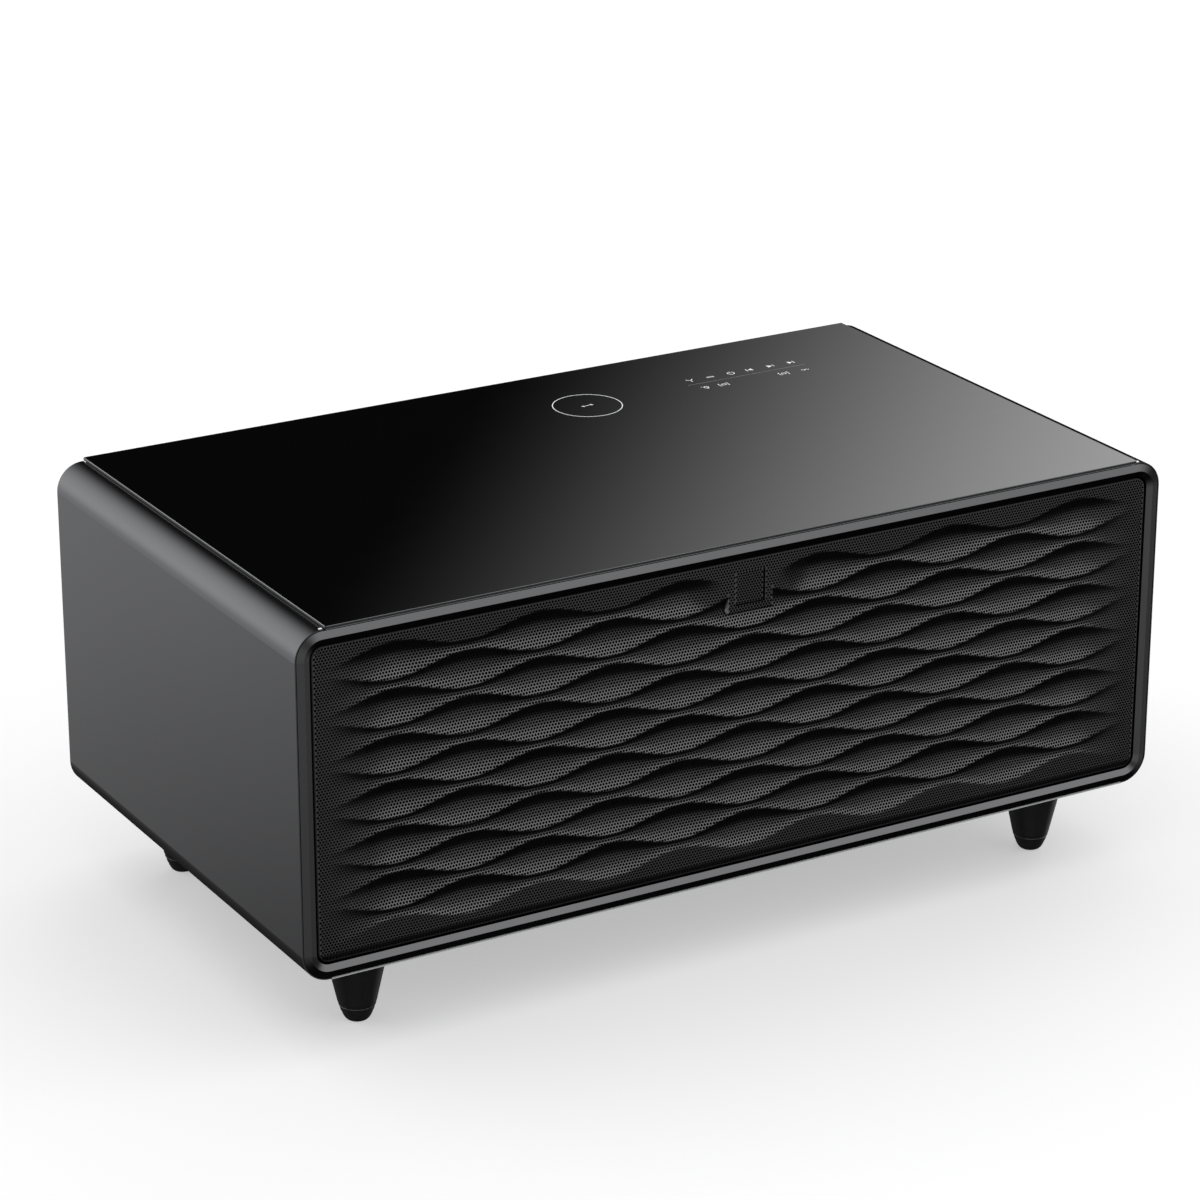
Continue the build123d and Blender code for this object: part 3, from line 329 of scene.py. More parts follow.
def wave_raw(x, z):
    depth = np.zeros_like(x)
    side = 1 - step01(np.abs(x), 352.0, 429.0)
    tv = 0.43
    for k in range(12):
        hi, lo = crest(k, x), crest(k + 1, x)
        w = hi - lo
        t = (hi - z) / w
        inside = (t >= 0) & (t <= 1)
        down = 1 - (np.clip(tv - t, 0, None) / tv) ** 2
        up = 1 - (np.clip(t - tv, 0, None) / (1 - tv)) ** 1.7
        d = 0.16 * w * np.where(t < tv, down, up)
        if k == 0:
            d = d * step01(np.abs(x), 26.0, 66.0)
        depth = np.where(inside, d, depth)
    return depth * side


def wave_depth(x, z):
    """Depth behind the border plane, with the crests eased over about a millimetre."""
    total = 0
    for dz, wt in ((-0.7, 1), (-0.35, 2), (0, 2), (0.35, 2), (0.7, 1)):
        total = total + wt * wave_raw(x, z + dz)
    d = total / 8
    d = d + 1.3 * step01(103.0 - z, 0.0, 6.0)  # the bottom margin leans back
    return d


def round_corners(x, z, r=9.5):
    """Eases the square corners of the lattice into the sheet's rounded ones."""
    cx, cz, mz = 433.0 - r, (387.0 - 97.0) / 2 - r, (387.0 + 97.0) / 2
    a = np.abs(x) - cx
    b = np.abs(z - mz) - cz
    in_corner = (a > 0) & (b > 0)
    e = np.hypot(a, b)
    m = np.maximum(a, b)
    k = np.where(in_corner & (e > 0), m / np.where(e > 0, e, 1), 1.0)
    # full effect only at the outline, so that the holes keep their shape inside
    k = 1 - (1 - k) * np.clip(m / r, 0, 1) ** 1.0
    nx = np.where(in_corner, np.sign(x) * (cx + a * k), x)
    nz = np.where(in_corner, mz + np.sign(z - mz) * (cz + b * k), z)
    return nx, nz


HOLE_R = 1.27
ANGLES = np.radians(np.arange(8) * 45.0)


def build_sheet():
    lattice_u = np.arange(-HALF_U, HALF_U + 1)
    nu = len(lattice_u)
    gx, gz = np.meshgrid(x_of(lattice_u), Z_LINES)  # (rows+1, nu)
    base = lambda r, u: r * nu + (u + HALF_U)  # noqa: E731
    bx, bz = gx.copy(), gz.copy()
    rr, uu = np.meshgrid(np.arange(ROWS + 1), lattice_u, indexing="ij")
    # the pad is flat: its inner points are at the border plane, and the points of its stepped outline are doubled
    in_pad = (np.abs(uu) < PAD_U) & (rr > R_PAD)
    R_STEP_TOP = int(np.searchsorted(Z_LINES, 360.0))
    on_line = ((np.abs(uu) <= PAD_U) & (rr == R_PAD)) | ((np.abs(uu) == PAD_U) & (rr >= R_PAD) & (rr <= R_STEP_TOP))
    ox, oz = round_corners(bx, bz)
    depth = wave_depth(ox, oz)
    depth = np.where(in_pad & ~on_line, 0.0, depth)
    # the outside copy of the outline moves a little outwards, and the inside copy inwards
    shift = 0.12
    side = on_line & (np.abs(uu) == PAD_U)
    low = on_line & (rr == R_PAD)
    out_x = ox + np.where(side, np.sign(uu) * shift, 0)
    out_z = oz - np.where(low, shift, 0)
    verts = [np.stack([out_x.ravel(), FRONT + depth.ravel(), out_z.ravel()], 1)]
    count = verts[0].shape[0]
    twin = np.full((ROWS + 1) * nu, -1)
    line_idx = np.flatnonzero(on_line.ravel() & (depth.ravel() > 0.06))
    tx = (ox - np.where(side, np.sign(uu) * shift, 0)).ravel()[line_idx]
    tz = (oz + np.where(low, shift, 0)).ravel()[line_idx]
    verts.append(np.stack([tx, np.full(len(line_idx), FRONT), tz], 1))
    twin[line_idx] = count + np.arange(len(line_idx))
    count += len(line_idx)
    # points on the line with no step go back to where they were
    flat_line = on_line.ravel() & (depth.ravel() <= 0.06)
    verts[0][flat_line, 0] = ox.ravel()[flat_line]
    verts[0][flat_line, 2] = oz.ravel()[flat_line]
    verts[0][flat_line, 1] = FRONT
    has_step = twin >= 0

    cells, halves = [], []  # (row, u centre, region), (row, u0, u1, region)
    for r in range(ROWS):
        seat_row = R_SEAT0 <= r < R_SEAT1
        pad_row = r >= R_PAD
        step_row = R_PAD <= r < R_STEP_TOP
        odd = r % 2
        u = -HALF_U
        while u < HALF_U:
            width = 1 if (odd and u in (-HALF_U, HALF_U - 1)) else 2
            u0, u1 = u, u + width
            u += width
            spans = [(u0, u1)]
            cut = None
            if width == 2:
                mid = u0 + 1
                if seat_row and abs(mid) == SEAT_U:
                    cut = mid
                if step_row and abs(mid) == PAD_U:
                    cut = mid
            if cut is not None:
                spans = [(u0, cut), (cut, u1)]
            for a, b in spans:
                c = (a + b) / 2
                if seat_row and abs(c) < SEAT_U:
                    continue  # the seat's opening
                region = 1 if (pad_row and abs(c) < PAD_U) else 0
                if b - a == 2:
                    cells.append((r, a + 1, region))
                else:
                    halves.append((r, a, b, region))
    cells = np.array(cells)
    halves = np.array(halves)

    def idx(r, u, region):
        i = base(r, u)
        return np.where((region == 1) & has_step[i], twin[i], i)

    r, c, g = cells.T
    BL, BM, BR = idx(r, c - 1, g), idx(r, c, g), idx(r, c + 1, g)
    TL, TM, TR = idx(r + 1, c - 1, g), idx(r + 1, c, g), idx(r + 1, c + 1, g)
    # holes
    allv = np.concatenate(verts)
    corners = allv[np.stack([BL, BR, TR, TL], 1)]
    cx = x_of(c)
    cz = (Z_LINES[r] + Z_LINES[r + 1]) / 2
    hx = cx[:, None] + HOLE_R * np.cos(ANGLES)[None]
    hz = cz[:, None] + HOLE_R * np.sin(ANGLES)[None]
    hx, hz = round_corners(hx, hz)
    hd = np.where((g == 1)[:, None], 0.0, wave_depth(hx, hz))
    hv = np.stack([hx.ravel(), FRONT + hd.ravel(), hz.ravel()], 1)
    hb = count + np.arange(len(cells) * 8).reshape(-1, 8)
    allv = np.concatenate([allv, hv])
    h = [hb[:, i] for i in range(8)]
    S = lambda *a: np.stack(a, 1)  # noqa: E731
    tris = [S(BR, TR, h[0]), S(TR, h[1], h[0]), S(TL, h[4], h[3]), S(TL, BL, h[4]), S(BL, h[5], h[4]), S(BR, h[0], h[7])]
    quads = [S(TR, TM, h[2], h[1]), S(TM, TL, h[3], h[2]), S(BL, BM, h[6], h[5]), S(BM, BR, h[7], h[6])]
    hr, a, b, hg = halves.T
    half_quads = S(idx(hr, a, hg), idx(hr, b, hg), idx(hr + 1, b, hg), idx(hr + 1, a, hg))
    # the steep walls between the pad's outline and the waves below it
    walls = []
    for r_ in range(R_PAD, R_STEP_TOP):
        for s in (-1, 1):
            i, j = base(r_, s * PAD_U), base(r_ + 1, s * PAD_U)
            ti, tj = (twin[i] if has_step[i] else i), (twin[j] if has_step[j] else j)
            f = [i, ti, tj, j] if s < 0 else [ti, i, j, tj]
            walls.append(f)
    for u_ in range(-PAD_U, PAD_U):
        i, j = base(R_PAD, u_), base(R_PAD, u_ + 1)
        ti, tj = (twin[i] if has_step[i] else i), (twin[j] if has_step[j] else j)
        walls.append([i, j, tj, ti])
    walls = [w for w in walls if len(set(w)) == 4]
    walls3 = []
    walls = np.array(walls)
    # pieces, by column
    n_pieces = 9
    edges_u = np.linspace(-HALF_U, HALF_U, n_pieces + 1)

    def piece_of(u):
        return np.clip(np.searchsorted(edges_u, u, side="right") - 1, 0, n_pieces - 1)

    pc = piece_of(c + 0.01)
    ph = piece_of((a + b) / 2 + 0.01)
    made = []
    for p in range(n_pieces):
        m = pc == p
        t3 = np.concatenate([t[m] for t in tris])
        t4 = np.concatenate([q[m] for q in quads] + [half_quads[ph == p]])
        if p == n_pieces // 2:
            t4 = np.concatenate([t4, walls])
        made.append(solidify(f"grille_sheet_{p + 1}", allv, t3, t4))
    return made


def solidify(name, allv, t3, t4):
    """Gives an open front surface its thickness: a back copy, and walls along every open edge."""
    used, inv = np.unique(np.concatenate([t3.ravel(), t4.ravel()]), return_inverse=True)
    t3n = inv[: t3.size].reshape(-1, 3)
    t4n = inv[t3.size :].reshape(-1, 4)
    v = allv[used]
    n = len(v)
    back = v + np.array([0, THICK, 0])
    e3 = np.concatenate([t3n[:, [0, 1]], t3n[:, [1, 2]], t3n[:, [2, 0]]])
    e4 = np.concatenate([t4n[:, [0, 1]], t4n[:, [1, 2]], t4n[:, [2, 3]], t4n[:, [3, 0]]])
    e = np.concatenate([e3, e4]).astype(np.int64)
    key = np.minimum(e[:, 0], e[:, 1]) * n + np.maximum(e[:, 0], e[:, 1])
    _, first, counts = np.unique(key, return_index=True, return_counts=True)
    open_e = e[first[counts == 1]]
    side = np.stack([open_e[:, 1], open_e[:, 0], open_e[:, 0] + n, open_e[:, 1] + n], 1)
    verts = np.concatenate([v, back]) * MM
    faces = [t3n, t4n, t3n[:, ::-1] + n, t4n[:, ::-1] + n, side]
    pairs = np.concatenate([open_e, open_e + n])
    # the back and every wall of the sheet take the near-black second material, a painted shade inside the holes
    return fast_mesh(name, verts, faces, MATS["grille_paint"], "drawer", pairs, SHADE_BLACK, 2)


sheet_parts = build_sheet()


def build_seat():
    """The small square plate in the sheet's top centre: the same perforated sheet, set back, with a dark gap round it."""
    k = SEAT_U
    us = np.arange(-k, k + 1)
    zl = Z_LINES[R_SEAT0 : R_SEAT1 + 1]
    nu, nr = len(us), len(zl) - 1
    sx = (x_of(k) - 0.9) / x_of(k)
    mz = (zl[0] + zl[-1]) / 2
    sz = ((zl[-1] - zl[0]) / 2 - 0.9) / ((zl[-1] - zl[0]) / 2)
    gx, gz = np.meshgrid(x_of(us) * sx, mz + (zl - mz) * sz)
    depth = 2.0
    v = [np.stack([gx.ravel(), np.full(gx.size, FRONT + depth), gz.ravel()], 1)]
    at = lambda r, u: r * nu + (u + k)  # noqa: E731
    cells, halves = [], []
    for r in range(nr):
        odd = (r + R_SEAT0) % 2
        u = -k
        # the seat's edge falls on a cell boundary in one row and through a cell in the next
        start_half = (u % 2 == 0) == bool(odd)
        while u < k:
            w = 1 if (start_half and u in (-k, k - 1)) else 2
            if w == 2:
                cells.append((r, u + 1))
            else:
                halves.append((r, u, u + 1))
            u += w
    cells, halves = np.array(cells), np.array(halves)
    r, c = cells.T
    BL, BM, BR, TL, TM, TR = at(r, c - 1), at(r, c), at(r, c + 1), at(r + 1, c - 1), at(r + 1, c), at(r + 1, c + 1)
    cx = x_of(c) * sx
    cz = mz + ((zl[r] + zl[r + 1]) / 2 - mz) * sz
    hx = cx[:, None] + HOLE_R * np.cos(ANGLES)
    hz = cz[:, None] + HOLE_R * np.sin(ANGLES)
    hb = v[0].shape[0] + np.arange(len(cells) * 8).reshape(-1, 8)
    v.append(np.stack([hx.ravel(), np.full(hx.size, FRONT + depth), hz.ravel()], 1))
    h = [hb[:, i] for i in range(8)]
    S = lambda *a: np.stack(a, 1)  # noqa: E731
    t3 = np.concatenate([S(BR, TR, h[0]), S(TR, h[1], h[0]), S(TL, h[4], h[3]), S(TL, BL, h[4]), S(BL, h[5], h[4]), S(BR, h[0], h[7])])
    t4 = np.concatenate([S(TR, TM, h[2], h[1]), S(TM, TL, h[3], h[2]), S(BL, BM, h[6], h[5]), S(BM, BR, h[7], h[6])]
                        + ([S(at(halves[:, 0], halves[:, 1]), at(halves[:, 0], halves[:, 2]), at(halves[:, 0] + 1, halves[:, 2]), at(halves[:, 0] + 1, halves[:, 1]))] if len(halves) else []))
    return solidify("grille_seat_plate", np.concatenate(v), t3, t4)


seat_plate = build_seat()


def rounded_path(hx, z0, z1, r, n=10):
    """Points and outward directions round a rounded rectangle in the XZ plane, anticlockwise seen from the front."""
    pts, outs = [], []
    mz, hz = (z0 + z1) / 2, (z1 - z0) / 2
    for cx, cz, a0 in ((hx - r, hz - r, 0), (-(hx - r), hz - r, 90), (-(hx - r), -(hz - r), 180), (hx - r, -(hz - r), 270)):
        for i in range(n + 1):
            a = math.radians(a0 + 90 * i / n)
            pts.append((cx + r * math.cos(a), mz + cz + r * math.sin(a)))
            outs.append((math.cos(a), math.sin(a)))
    return np.array(pts), np.array(outs)


def sweep_frame(name, path, outs, profile, material, body, hard=()):
    """Sweeps a closed profile of (outward, y) round a closed path."""
    n, m = len(path), len(profile)
    v = np.zeros((n, m, 3))
    for j, (d, y) in enumerate(profile):
        v[:, j, 0] = path[:, 0] + outs[:, 0] * d
        v[:, j, 2] = path[:, 1] + outs[:, 1] * d
        v[:, j, 1] = y
    i = np.arange(n)[:, None]
    j = np.arange(m)[None]
    i2, j2 = (i + 1) % n, (j + 1) % m
    f = np.stack([i * m + j + 0 * i, i2 * m + j, i2 * m + j2, i * m + j2], -1).reshape(-1, 4)
    pairs = []
    for k in hard:
        a = np.arange(n) * m + k
        pairs.append(np.stack([a, np.roll(a, -1)], 1))
    return fast_mesh(name, v.reshape(-1, 3) * MM, [f], material, body, np.concatenate(pairs) if pairs else None)


path, outs = rounded_path(433.0, 97.0, 387.0, 9.5, 14)
arc = [(math.sin(a), FRONT + 1 - math.cos(a)) for a in np.radians(np.arange(0, 91, 15))]
profile = arc + [(1.0, -239.0), (0.0, -239.0), (0.0, FRONT + 0.9)]
# the rim takes the darker rim colour, a painted shade
rim = sweep_frame("grille_rim", path, outs, profile, RIM_SHADE, "drawer", hard=(0, 7, 8, 9))
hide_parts("drawer_front_grille")


# ---------------------------------------------------------------- the glass top
def glass():
    """The slab of black glass with bevels above and below, and its edge between them; the side bevels are light grey, a
    painted highlight.
    """
    hx, hy, c = 421.8, 250.0, 0.55
    z0, z1 = 403.8, 406.97
    rings = [(c, z0), (0.0, z0 + c), (0.0, z1 - c), (c, z1)]
    pts = []
    for inset, z in rings:
        for sx, sy in ((1, 1), (-1, 1), (-1, -1), (1, -1)):
            r = 1.2
            for i in range(5):
                a = math.radians({(1, 1): 0, (-1, 1): 90, (-1, -1): 180, (1, -1): 270}[(sx, sy)] + 22.5 * i)
                k = inset * (1.0 - 0.88 * min(1.0, max(0.0, -math.sin(a)) * 1.2))  # the front edge is nearly sharp
                pts.append((sx * (hx - r) + (r - k) * math.cos(a), sy * (hy - r) + (r - k) * math.sin(a), z))
    n = 20
    faces, which = [], []
    for k in range(3):
        for i in range(n):
            j = (i + 1) % n
            faces.append((k * n + i, k * n + j, (k + 1) * n + j, (k + 1) * n + i))
            front = 9 < i < 14  # the front bevels take the dark edge colour; only the side bevels carry the painted highlight
            which.append(2 if front else (1, 2, 1)[k])
    faces.append(tuple(range(n - 1, -1, -1)))
    faces.append(tuple(3 * n + i for i in range(n)))
    which += [0, 0]
    ob = mesh_object("glass_slab", [(x * MM, y * MM, z * MM) for x, y, z in pts], faces, MATS["black_glass"], "root")
    ob.data.materials.append(EDGE_HIGHLIGHT)
    ob.data.materials.append(EDGE_DARK)
    ob.data.polygons.foreach_set("material_index", which)
    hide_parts("glass_top")


glass()


# ---------------------------------------------------------------- printed marks on the glass
class Print:
    """Flat shapes in millimetres on the glass, made into one thin film."""

    def __init__(self):
        self.v, self.f = [], []

    def poly(self, pts):
        a = len(self.v)
        self.v += [tuple(p) for p in pts]
        self.f.append(tuple(range(a, a + len(pts))))

    def line(self, pts, width, closed=False):
        p = np.array(pts, float)
        n = len(p)
        if closed:
            before, after = np.roll(p, 1, 0), np.roll(p, -1, 0)
        else:
            before, after = np.vstack([p[:1] * 2 - p[1:2], p[:-1]]), np.vstack([p[1:], p[-1:] * 2 - p[-2:-1]])
        d0, d1 = p - before, after - p
        d0 /= np.linalg.norm(d0, axis=1)[:, None]
        d1 /= np.linalg.norm(d1, axis=1)[:, None]
        n0, n1 = np.stack([-d0[:, 1], d0[:, 0]], 1), np.stack([-d1[:, 1], d1[:, 0]], 1)
        m = n0 + n1
        m /= np.linalg.norm(m, axis=1)[:, None]
        m /= np.clip((m * n0).sum(1), 0.5, 1)[:, None]
        a = len(self.v)
        for q, w in zip(p, m):
            self.v.append(tuple(q + w * width / 2))
            self.v.append(tuple(q - w * width / 2))
        last = n if closed else n - 1
        for i in range(last):
            j = (i + 1) % n
            self.f.append((a + 2 * i + 1, a + 2 * j + 1, a + 2 * j, a + 2 * i))

    def arc(self, c, r, a0, a1, width, n=40, closed=False):
        t = np.radians(np.linspace(a0, a1, n, endpoint=not closed))
        self.line([(c[0] + r * math.cos(a), c[1] + r * math.sin(a)) for a in t], width, closed)

    def make(self, name, z0=406.95, z1=407.0, ink=None):
        """Each flat face gets a back and sides of its own."""
        v, f = [], []
        for face in self.f:
            p = [self.v[i] for i in face]
            area = sum(p[i][0] * p[(i + 1) % len(p)][1] - p[(i + 1) % len(p)][0] * p[i][1] for i in range(len(p)))
            if area < 0:
                p = p[::-1]
            a, k = len(v), len(p)
            v += [(x * MM, y * MM, z1 * MM) for x, y in p] + [(x * MM, y * MM, z0 * MM) for x, y in p]
            f.append(tuple(a + i for i in range(k)))
            f.append(tuple(a + k + i for i in range(k - 1, -1, -1)))
            f += [(a + i, a + k + i, a + k + (i + 1) % k, a + (i + 1) % k) for i in range(k)]
        return mesh_object(name, v, f, ink or MARK_INK, "root")


def marks():
    ring = Print()
    cx, cy = 61.0, 146.7
    ring.arc((cx, cy), 33.8, 0, 360, 0.85, 120, True)
    ring.poly([(cx + x, cy + y) for x, y in ((-6.6, 0.9), (-4.4, -2.3), (-2.6, -0.6), (-4.2, 1.0))])
    ring.poly([(cx + x, cy + y) for x, y in ((6.6, -0.9), (4.4, 2.3), (2.6, 0.6), (4.2, -1.0))])
    ring.line([(cx - 3.6, cy - 0.5), (cx + 3.6, cy + 0.5)], 0.8)
    ring.make("charging_ring_print")

    t = Print()
    w = 0.95
    rule = Print()
    rule.line([(177.5, 151.0), (313.4, 151.0)], 0.55)
    rule.make("touch_rule_print", ink=FAINT_INK)
    up, low = 163.4, 136.5

    def at(x, y, pts):
        return [(x + a, y + b) for a, b in pts]

    # a branching arrow, a bar, a switch sign, and three player signs
    t.line(at(187.7, up, [(-3.6, 3.4), (-0.2, -0.4), (0.2, -4.2)]), w)
    t.line(at(187.7, up, [(3.8, 3.2), (-0.2, -0.4)]), w)
    t.line(at(210.3, up, [(-3.6, 0.9), (3.6, 0.9), (3.6, -0.9), (-3.6, -0.9)]), w * 0.8, True)
    t.arc((234.3, up), 3.5, 125, 415, w, 28)
    t.line(at(234.3, up, [(0, 1.0), (0, 4.6)]), w)
    t.poly(at(255.7, up, [(3.4, -3.0), (3.4, 3.0), (-1.6, 0)]))
    t.line(at(255.7, up, [(-2.9, -3.0), (-2.9, 3.0)]), w)
    t.poly(at(280.1, up, [(-3.2, 3.2), (-3.2, -3.2), (2.6, 0)]))
    t.line(at(280.1, up, [(3.6, -2.9), (3.6, 2.9)]), w * 0.8)
    t.poly(at(304.5, up, [(-3.4, 3.0), (-3.4, -3.0), (1.6, 0)]))
    t.line(at(304.5, up, [(2.9, -3.0), (2.9, 3.0)]), w)
    # a lamp, two bracketed boxes and a wave
    t.arc((190.0, low + 1.0), 2.3, 0, 360, w, 18, True)
    t.line(at(190.0, low, [(-1.2, -2.8), (1.2, -2.8)]), w)
    t.line(at(190.0, low, [(-4.6, 4.0), (-3.4, 3.0)]), w * 0.8)
    for x in (209.5, 279.2):
        t.line(at(x, low, [(-2.0, 1.7), (2.0, 1.7), (2.0, -1.7), (-2.0, -1.7)]), w * 0.8, True)
        t.line(at(x, low, [(-3.6, 3.2), (-4.9, 3.2), (-4.9, -3.2), (-3.6, -3.2)]), w * 0.8)
        t.line(at(x, low, [(3.6, 3.2), (4.9, 3.2), (4.9, -3.2), (3.6, -3.2)]), w * 0.8)
    t.line([(304.1 - 4.2 + i * 0.6, low + 1.0 * math.sin(i * 0.9)) for i in range(15)], w * 0.9)
    t.make("touch_marks_print")


marks()


# ---------------------------------------------------------------- small things at the front
def rounded_block(name, centre, size, r, material, body, axis="y"):
    """A block whose outline has rounded corners and whose front edge is eased. It faces -Y, or +Z."""
    w, h, d = size
    ease = min(0.2, d / 3)
    rings = []
    for inset, out in ((0.0, 0.0), (0.0, d - ease), (ease, d)):
        ring = []
        for cx, cy, a0 in ((w / 2 - r, h / 2 - r, 0), (-(w / 2 - r), h / 2 - r, 90), (-(w / 2 - r), -(h / 2 - r), 180), (w / 2 - r, -(h / 2 - r), 270)):
            for i in range(6):
                a = math.radians(a0 + 18 * i)
                ring.append((cx + (r - inset) * math.cos(a), cy + (r - inset) * math.sin(a), out))
        rings.append(ring)
    n = len(rings[0])
    v = []
    for ring in rings:
        for a, b, c in ring:
            if axis == "y":
                v.append(((centre[0] + a) * MM, (centre[1] - c) * MM, (centre[2] + b) * MM))
            else:
                v.append(((centre[0] + a) * MM, (centre[1] + b) * MM, (centre[2] + c) * MM))
    f = []
    for k in range(2):
        f += [(k * n + i, k * n + (i + 1) % n, (k + 1) * n + (i + 1) % n, (k + 1) * n + i) for i in range(n)]
    f.append(tuple(range(n - 1, -1, -1)))
    f.append(tuple(2 * n + i for i in range(n)))
    return mesh_object(name, v, f, material, body)


# near-white blocks at the glass's front corners: a painted highlight, the glints there
GLINT_TAB = finish_of("bright_tab", (0.86, 0.87, 0.88), 0.3, 0.05, metallic=0.2, grain=(900.0, 0.00001), mottle=(60.0, 0.03))
for side, sx in (("left", -1), ("right", 1)):
    rounded_block(f"glass_corner_clip_{side}", (sx * 424.3, -246.1, 403.9), (4.2 if sx > 0 else 3.4, 2.3 if sx > 0 else 1.9, 0.7), 0.5, GLINT_TAB, "root", "z")
# four near-black blocks along the sheet's bottom border stand for slots: their dark is painted shade
for i, x in enumerate((-413.0, -138.0, 138.0, 413.0)):
    rounded_block(f"grille_slot_{i + 1}", (x, FRONT + 0.8, 103.6), (5.2, 1.7, 1.0), 0.8, SHADE_BLACK, "drawer")

nodes["base_plate"].material_slots[0].material = BASE_EDGE


def ring_band(name, centre, z0, z1, r_in, r_out, material, n=64):
    """A slim ring with an eased outer edge."""
    e = min(0.12, (z1 - z0) / 3)
    section = [(r_in, z0), (r_out - e, z0), (r_out, z0 + e), (r_out, z1 - e), (r_out - e, z1), (r_in, z1)]
    v = []
    for i in range(n):
        a = 2 * math.pi * i / n
        v += [((centre[0] + r * math.cos(a)) * MM, (centre[1] + r * math.sin(a)) * MM, z * MM) for r, z in section]
    k = len(section)
    f = [(i * k + j, ((i + 1) % n) * k + j, ((i + 1) % n) * k + (j + 1) % k, i * k + (j + 1) % k) for i in range(n) for j in range(k)]
    return mesh_object(name, v, f, material, "root")


GAUZE = finish_of("speaker_gauze", (0.008, 0.008, 0.0085), 0.85, 0.05, specular=0.2, grain=(1600.0, 0.00008), mottle=(40.0, 0.15))
for side, sx in (("left", -1), ("right", 1)):
    rounded_block(f"speaker_gauze_{side}", (sx * 400.0, -232.8, 242.0), (48.0, 238.0, 0.8), 6.5, GAUZE, "drawer")
DOOR_SKIN = finish_of("door_skin", (0.50, 0.51, 0.52), 0.35, 0.05, grain=(700.0, 0.00003), mottle=(6.0, 0.02))
nodes["door_core"].material_slots[0].material = DOOR_SKIN
# the fascia behind the holes is near-black: painted shade, for the little light that gets in
nodes["fascia_frame"].material_slots[0].material = finish_of("fascia_black", (0.0035, 0.0035, 0.0036), 0.75, 0.05, specular=0.12, grain=(1500.0, 0.00004), mottle=(14.0, 0.1))
# a lighter band round each foot at its seam: a painted highlight, the thin light line there
SEAM_HIGHLIGHT = finish_of("seam_edge", (0.16, 0.16, 0.165), 0.25, 0.04, metallic=0.6, grain=(1500.0, 0.00001), mottle=(40.0, 0.05))
# a thin light-grey strip along the base's front edge: a painted highlight, the bright line there
LIP_HIGHLIGHT = finish_of("base_lip", (0.62, 0.63, 0.64), 0.4, 0.05, metallic=0.1, grain=(900.0, 0.00001), mottle=(10.0, 0.04))
for i, (x, y) in enumerate(((-366, -183), (366, -183), (366, 183), (-366, 183))):
    ring_band(f"foot_seam_{i + 1}", (x, y), 15.25, 15.7, 14.5, 16.85, SEAM_HIGHLIGHT)
rounded_block("base_front_lip", (0.0, -247.6, 79.85), (846.0, 0.9, 0.5), 0.4, LIP_HIGHLIGHT, "root")

# ---------------------------------------------------------------- floor
def floor():
    s = 30.0
    n = 24
    g = np.linspace(-s, s, n + 1)
    X, Y = np.meshgrid(g, g)
    v = np.stack([X.ravel(), Y.ravel(), np.zeros(X.size)], 1)
    f = [(r * (n + 1) + c, r * (n + 1) + c + 1, (r + 1) * (n + 1) + c + 1, (r + 1) * (n + 1) + c) for r in range(n) for c in range(n)]
    me = bpy.data.meshes.new("floor")
    me.from_pydata(v.tolist(), [], f)
    paper = finish_of("floor_paper", (0.46, 0.46, 0.46), 0.9, 0.03, specular=0.0, grain=(60.0, 0.0), mottle=(0.4, 0.004))
    p = next(n for n in paper.node_tree.nodes if n.type == "BSDF_PRINCIPLED")
    p.inputs["Emission Color"].default_value = (1, 1, 1, 1)
    p.inputs["Emission Strength"].default_value = 0.43
    me.materials.append(paper)
    ob = bpy.data.objects.new("floor", me)
    scene.collection.objects.link(ob)
    ob.visible_diffuse = False
    ob.visible_glossy = False


floor()


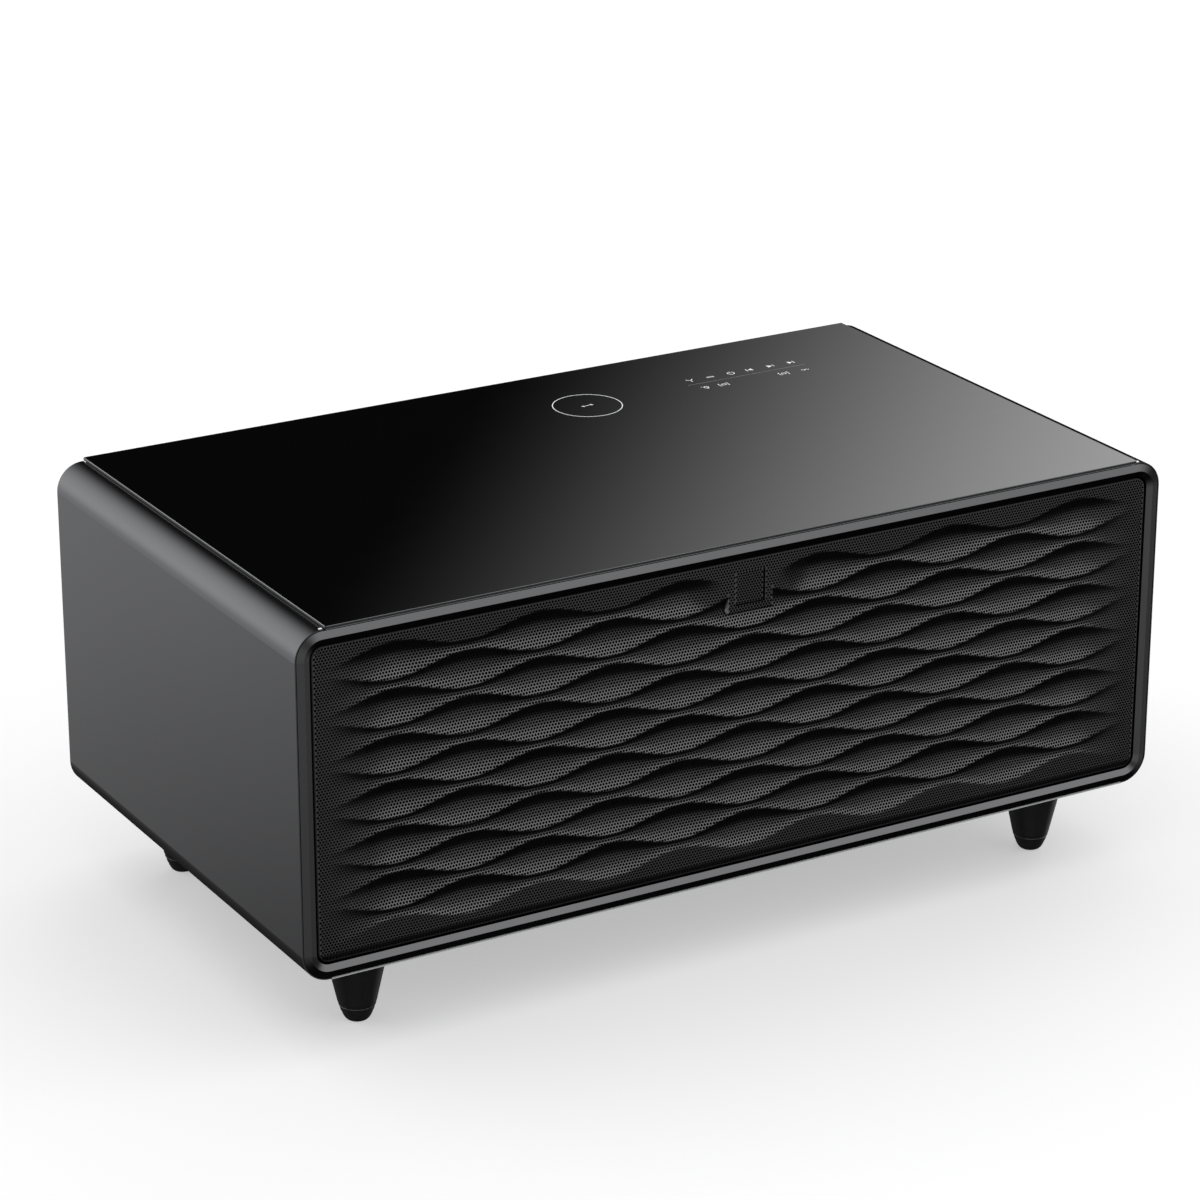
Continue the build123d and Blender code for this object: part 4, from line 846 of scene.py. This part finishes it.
# ---------------------------------------------------------------- studio light
def studio():
    w = bpy.data.worlds.new("studio")
    scene.world = w
    w.use_nodes = True
    w.node_tree.nodes.clear()
    t = Tree(w.node_tree)
    d = t.node("ShaderNodeTexCoord").outputs["Generated"]
    sep = t.node("ShaderNodeSeparateXYZ")
    t.put(sep.inputs[0], d)
    x, y, z = sep.outputs
    el = t.math("DEGREES", t.math("ARCSINE", z))
    az = t.math("DEGREES", t.math("ARCTAN2", x, y))  # from +Y towards +X

    turn = t.math("FLOORED_MODULO", t.math("ADD", az, 360.0), 360.0)

    def box(level, az0, az1, saz, el0, el1, sel):
        """A soft box in the sky: from az0 to az1 (0 to 360) and el0 to el1, with edges saz and sel wide."""
        a = t.math("MULTIPLY", t.smooth(turn, az0 - saz, az0 + saz), t.smooth(turn, az1 - saz, az1 + saz, 1.0, 0.0))
        e = t.math("MULTIPLY", t.smooth(el, el0 - sel, el0 + sel), t.smooth(el, el1 - sel, el1 + sel, 1.0, 0.0))
        return t.math("MULTIPLY", t.math("MULTIPLY", a, e), level)

    top = t.math("MULTIPLY", t.smooth(el, 40.0, 62.0), 1.55)
    front = box(1.75, 96.0, 172.0, 12.0, 3.0, 52.0, 8.0)
    front_left = box(0.8, 184.0, 260.0, 14.0, 0.0, 50.0, 10.0)
    # the panel that the left side and its rounded edges mirror: it fades towards the back and below the horizon
    sweep = t.math("MULTIPLY", t.smooth(az, -36.0, 22.0, 1.0, 0.0), t.smooth(az, -92.0, -66.0))
    drop = t.curve(el, -40.0, 60.0, [(-40, 0.03), (-34, 0.035), (-30, 0.05), (-27.5, 0.09), (-25.5, 0.155), (-24, 0.225), (-22.4, 0.30), (-21, 0.38), (-19.5, 0.43), (-11, 0.58), (-1, 0.88), (6, 1.0), (44, 1.0), (58, 0.0)])
    left_back = t.math("MULTIPLY", t.math("MULTIPLY", sweep, drop), 1.85)
    # the box that the glass mirrors: its near edge is a long ramp
    s = t.math("ADD", t.math("SUBTRACT", az, 26.02), t.math("MULTIPLY", t.math("SUBTRACT", el, 21.0), 0.81))
    ramp = t.math("MULTIPLY", t.math("POWER", t.smooth(s, 0.0, 14.58), 1.115), 2.337)
    window = t.math("MULTIPLY", t.smooth(az, 62.0, 84.0, 1.0, 0.0), t.math("MULTIPLY", t.smooth(el, 10.0, 16.6), t.smooth(el, 42.0, 56.0, 1.0, 0.0)))
    right_back = t.math("MULTIPLY", ramp, window)
    # light from below the horizon, strongest to the left
    level = t.math("MULTIPLY", t.smooth(el, -46.0, -8.0, 0.04, 1.25), t.smooth(el, -6.0, 4.0, 1.0, 0.0))
    behind = t.math("MULTIPLY", t.smooth(az, -110.0, -88.0), t.smooth(az, 46.0, 64.0, 1.0, 0.0))
    by_side = t.curve(turn, 0.0, 360.0, [(0, 0.1), (60, 0.50), (92, 0.80), (103, 0.75), (112, 0.07), (124, 0.10), (150, 0.50), (168, 0.30), (180, 0.27), (192, 0.68), (203, 0.92), (240, 0.90), (300, 0.7)])
    low = t.math("MULTIPLY", t.math("MULTIPLY", level, by_side), t.math("SUBTRACT", 1.0, behind))
    shade = t.math("MULTIPLY", t.math("MULTIPLY", behind, t.smooth(el, -8.0, 0.0, 1.0, 0.0)), 0.01)
    total = top
    for part in (front, front_left, left_back, right_back, low, shade):
        total = t.math("ADD", total, part)
    total = t.math("ADD", total, 0.006)
    bg = t.node("ShaderNodeBackground")
    bg.inputs["Color"].default_value = (1, 1, 1, 1)
    t.put(bg.inputs["Strength"], total)
    out = t.node("ShaderNodeOutputWorld")
    t.t.links.new(bg.outputs[0], out.inputs["Surface"])


studio()
scene.view_settings.view_transform = "Standard"
scene.view_settings.look = "None"
scene.cycles.use_denoising = True
scene.cycles.denoising_prefilter = "NONE"
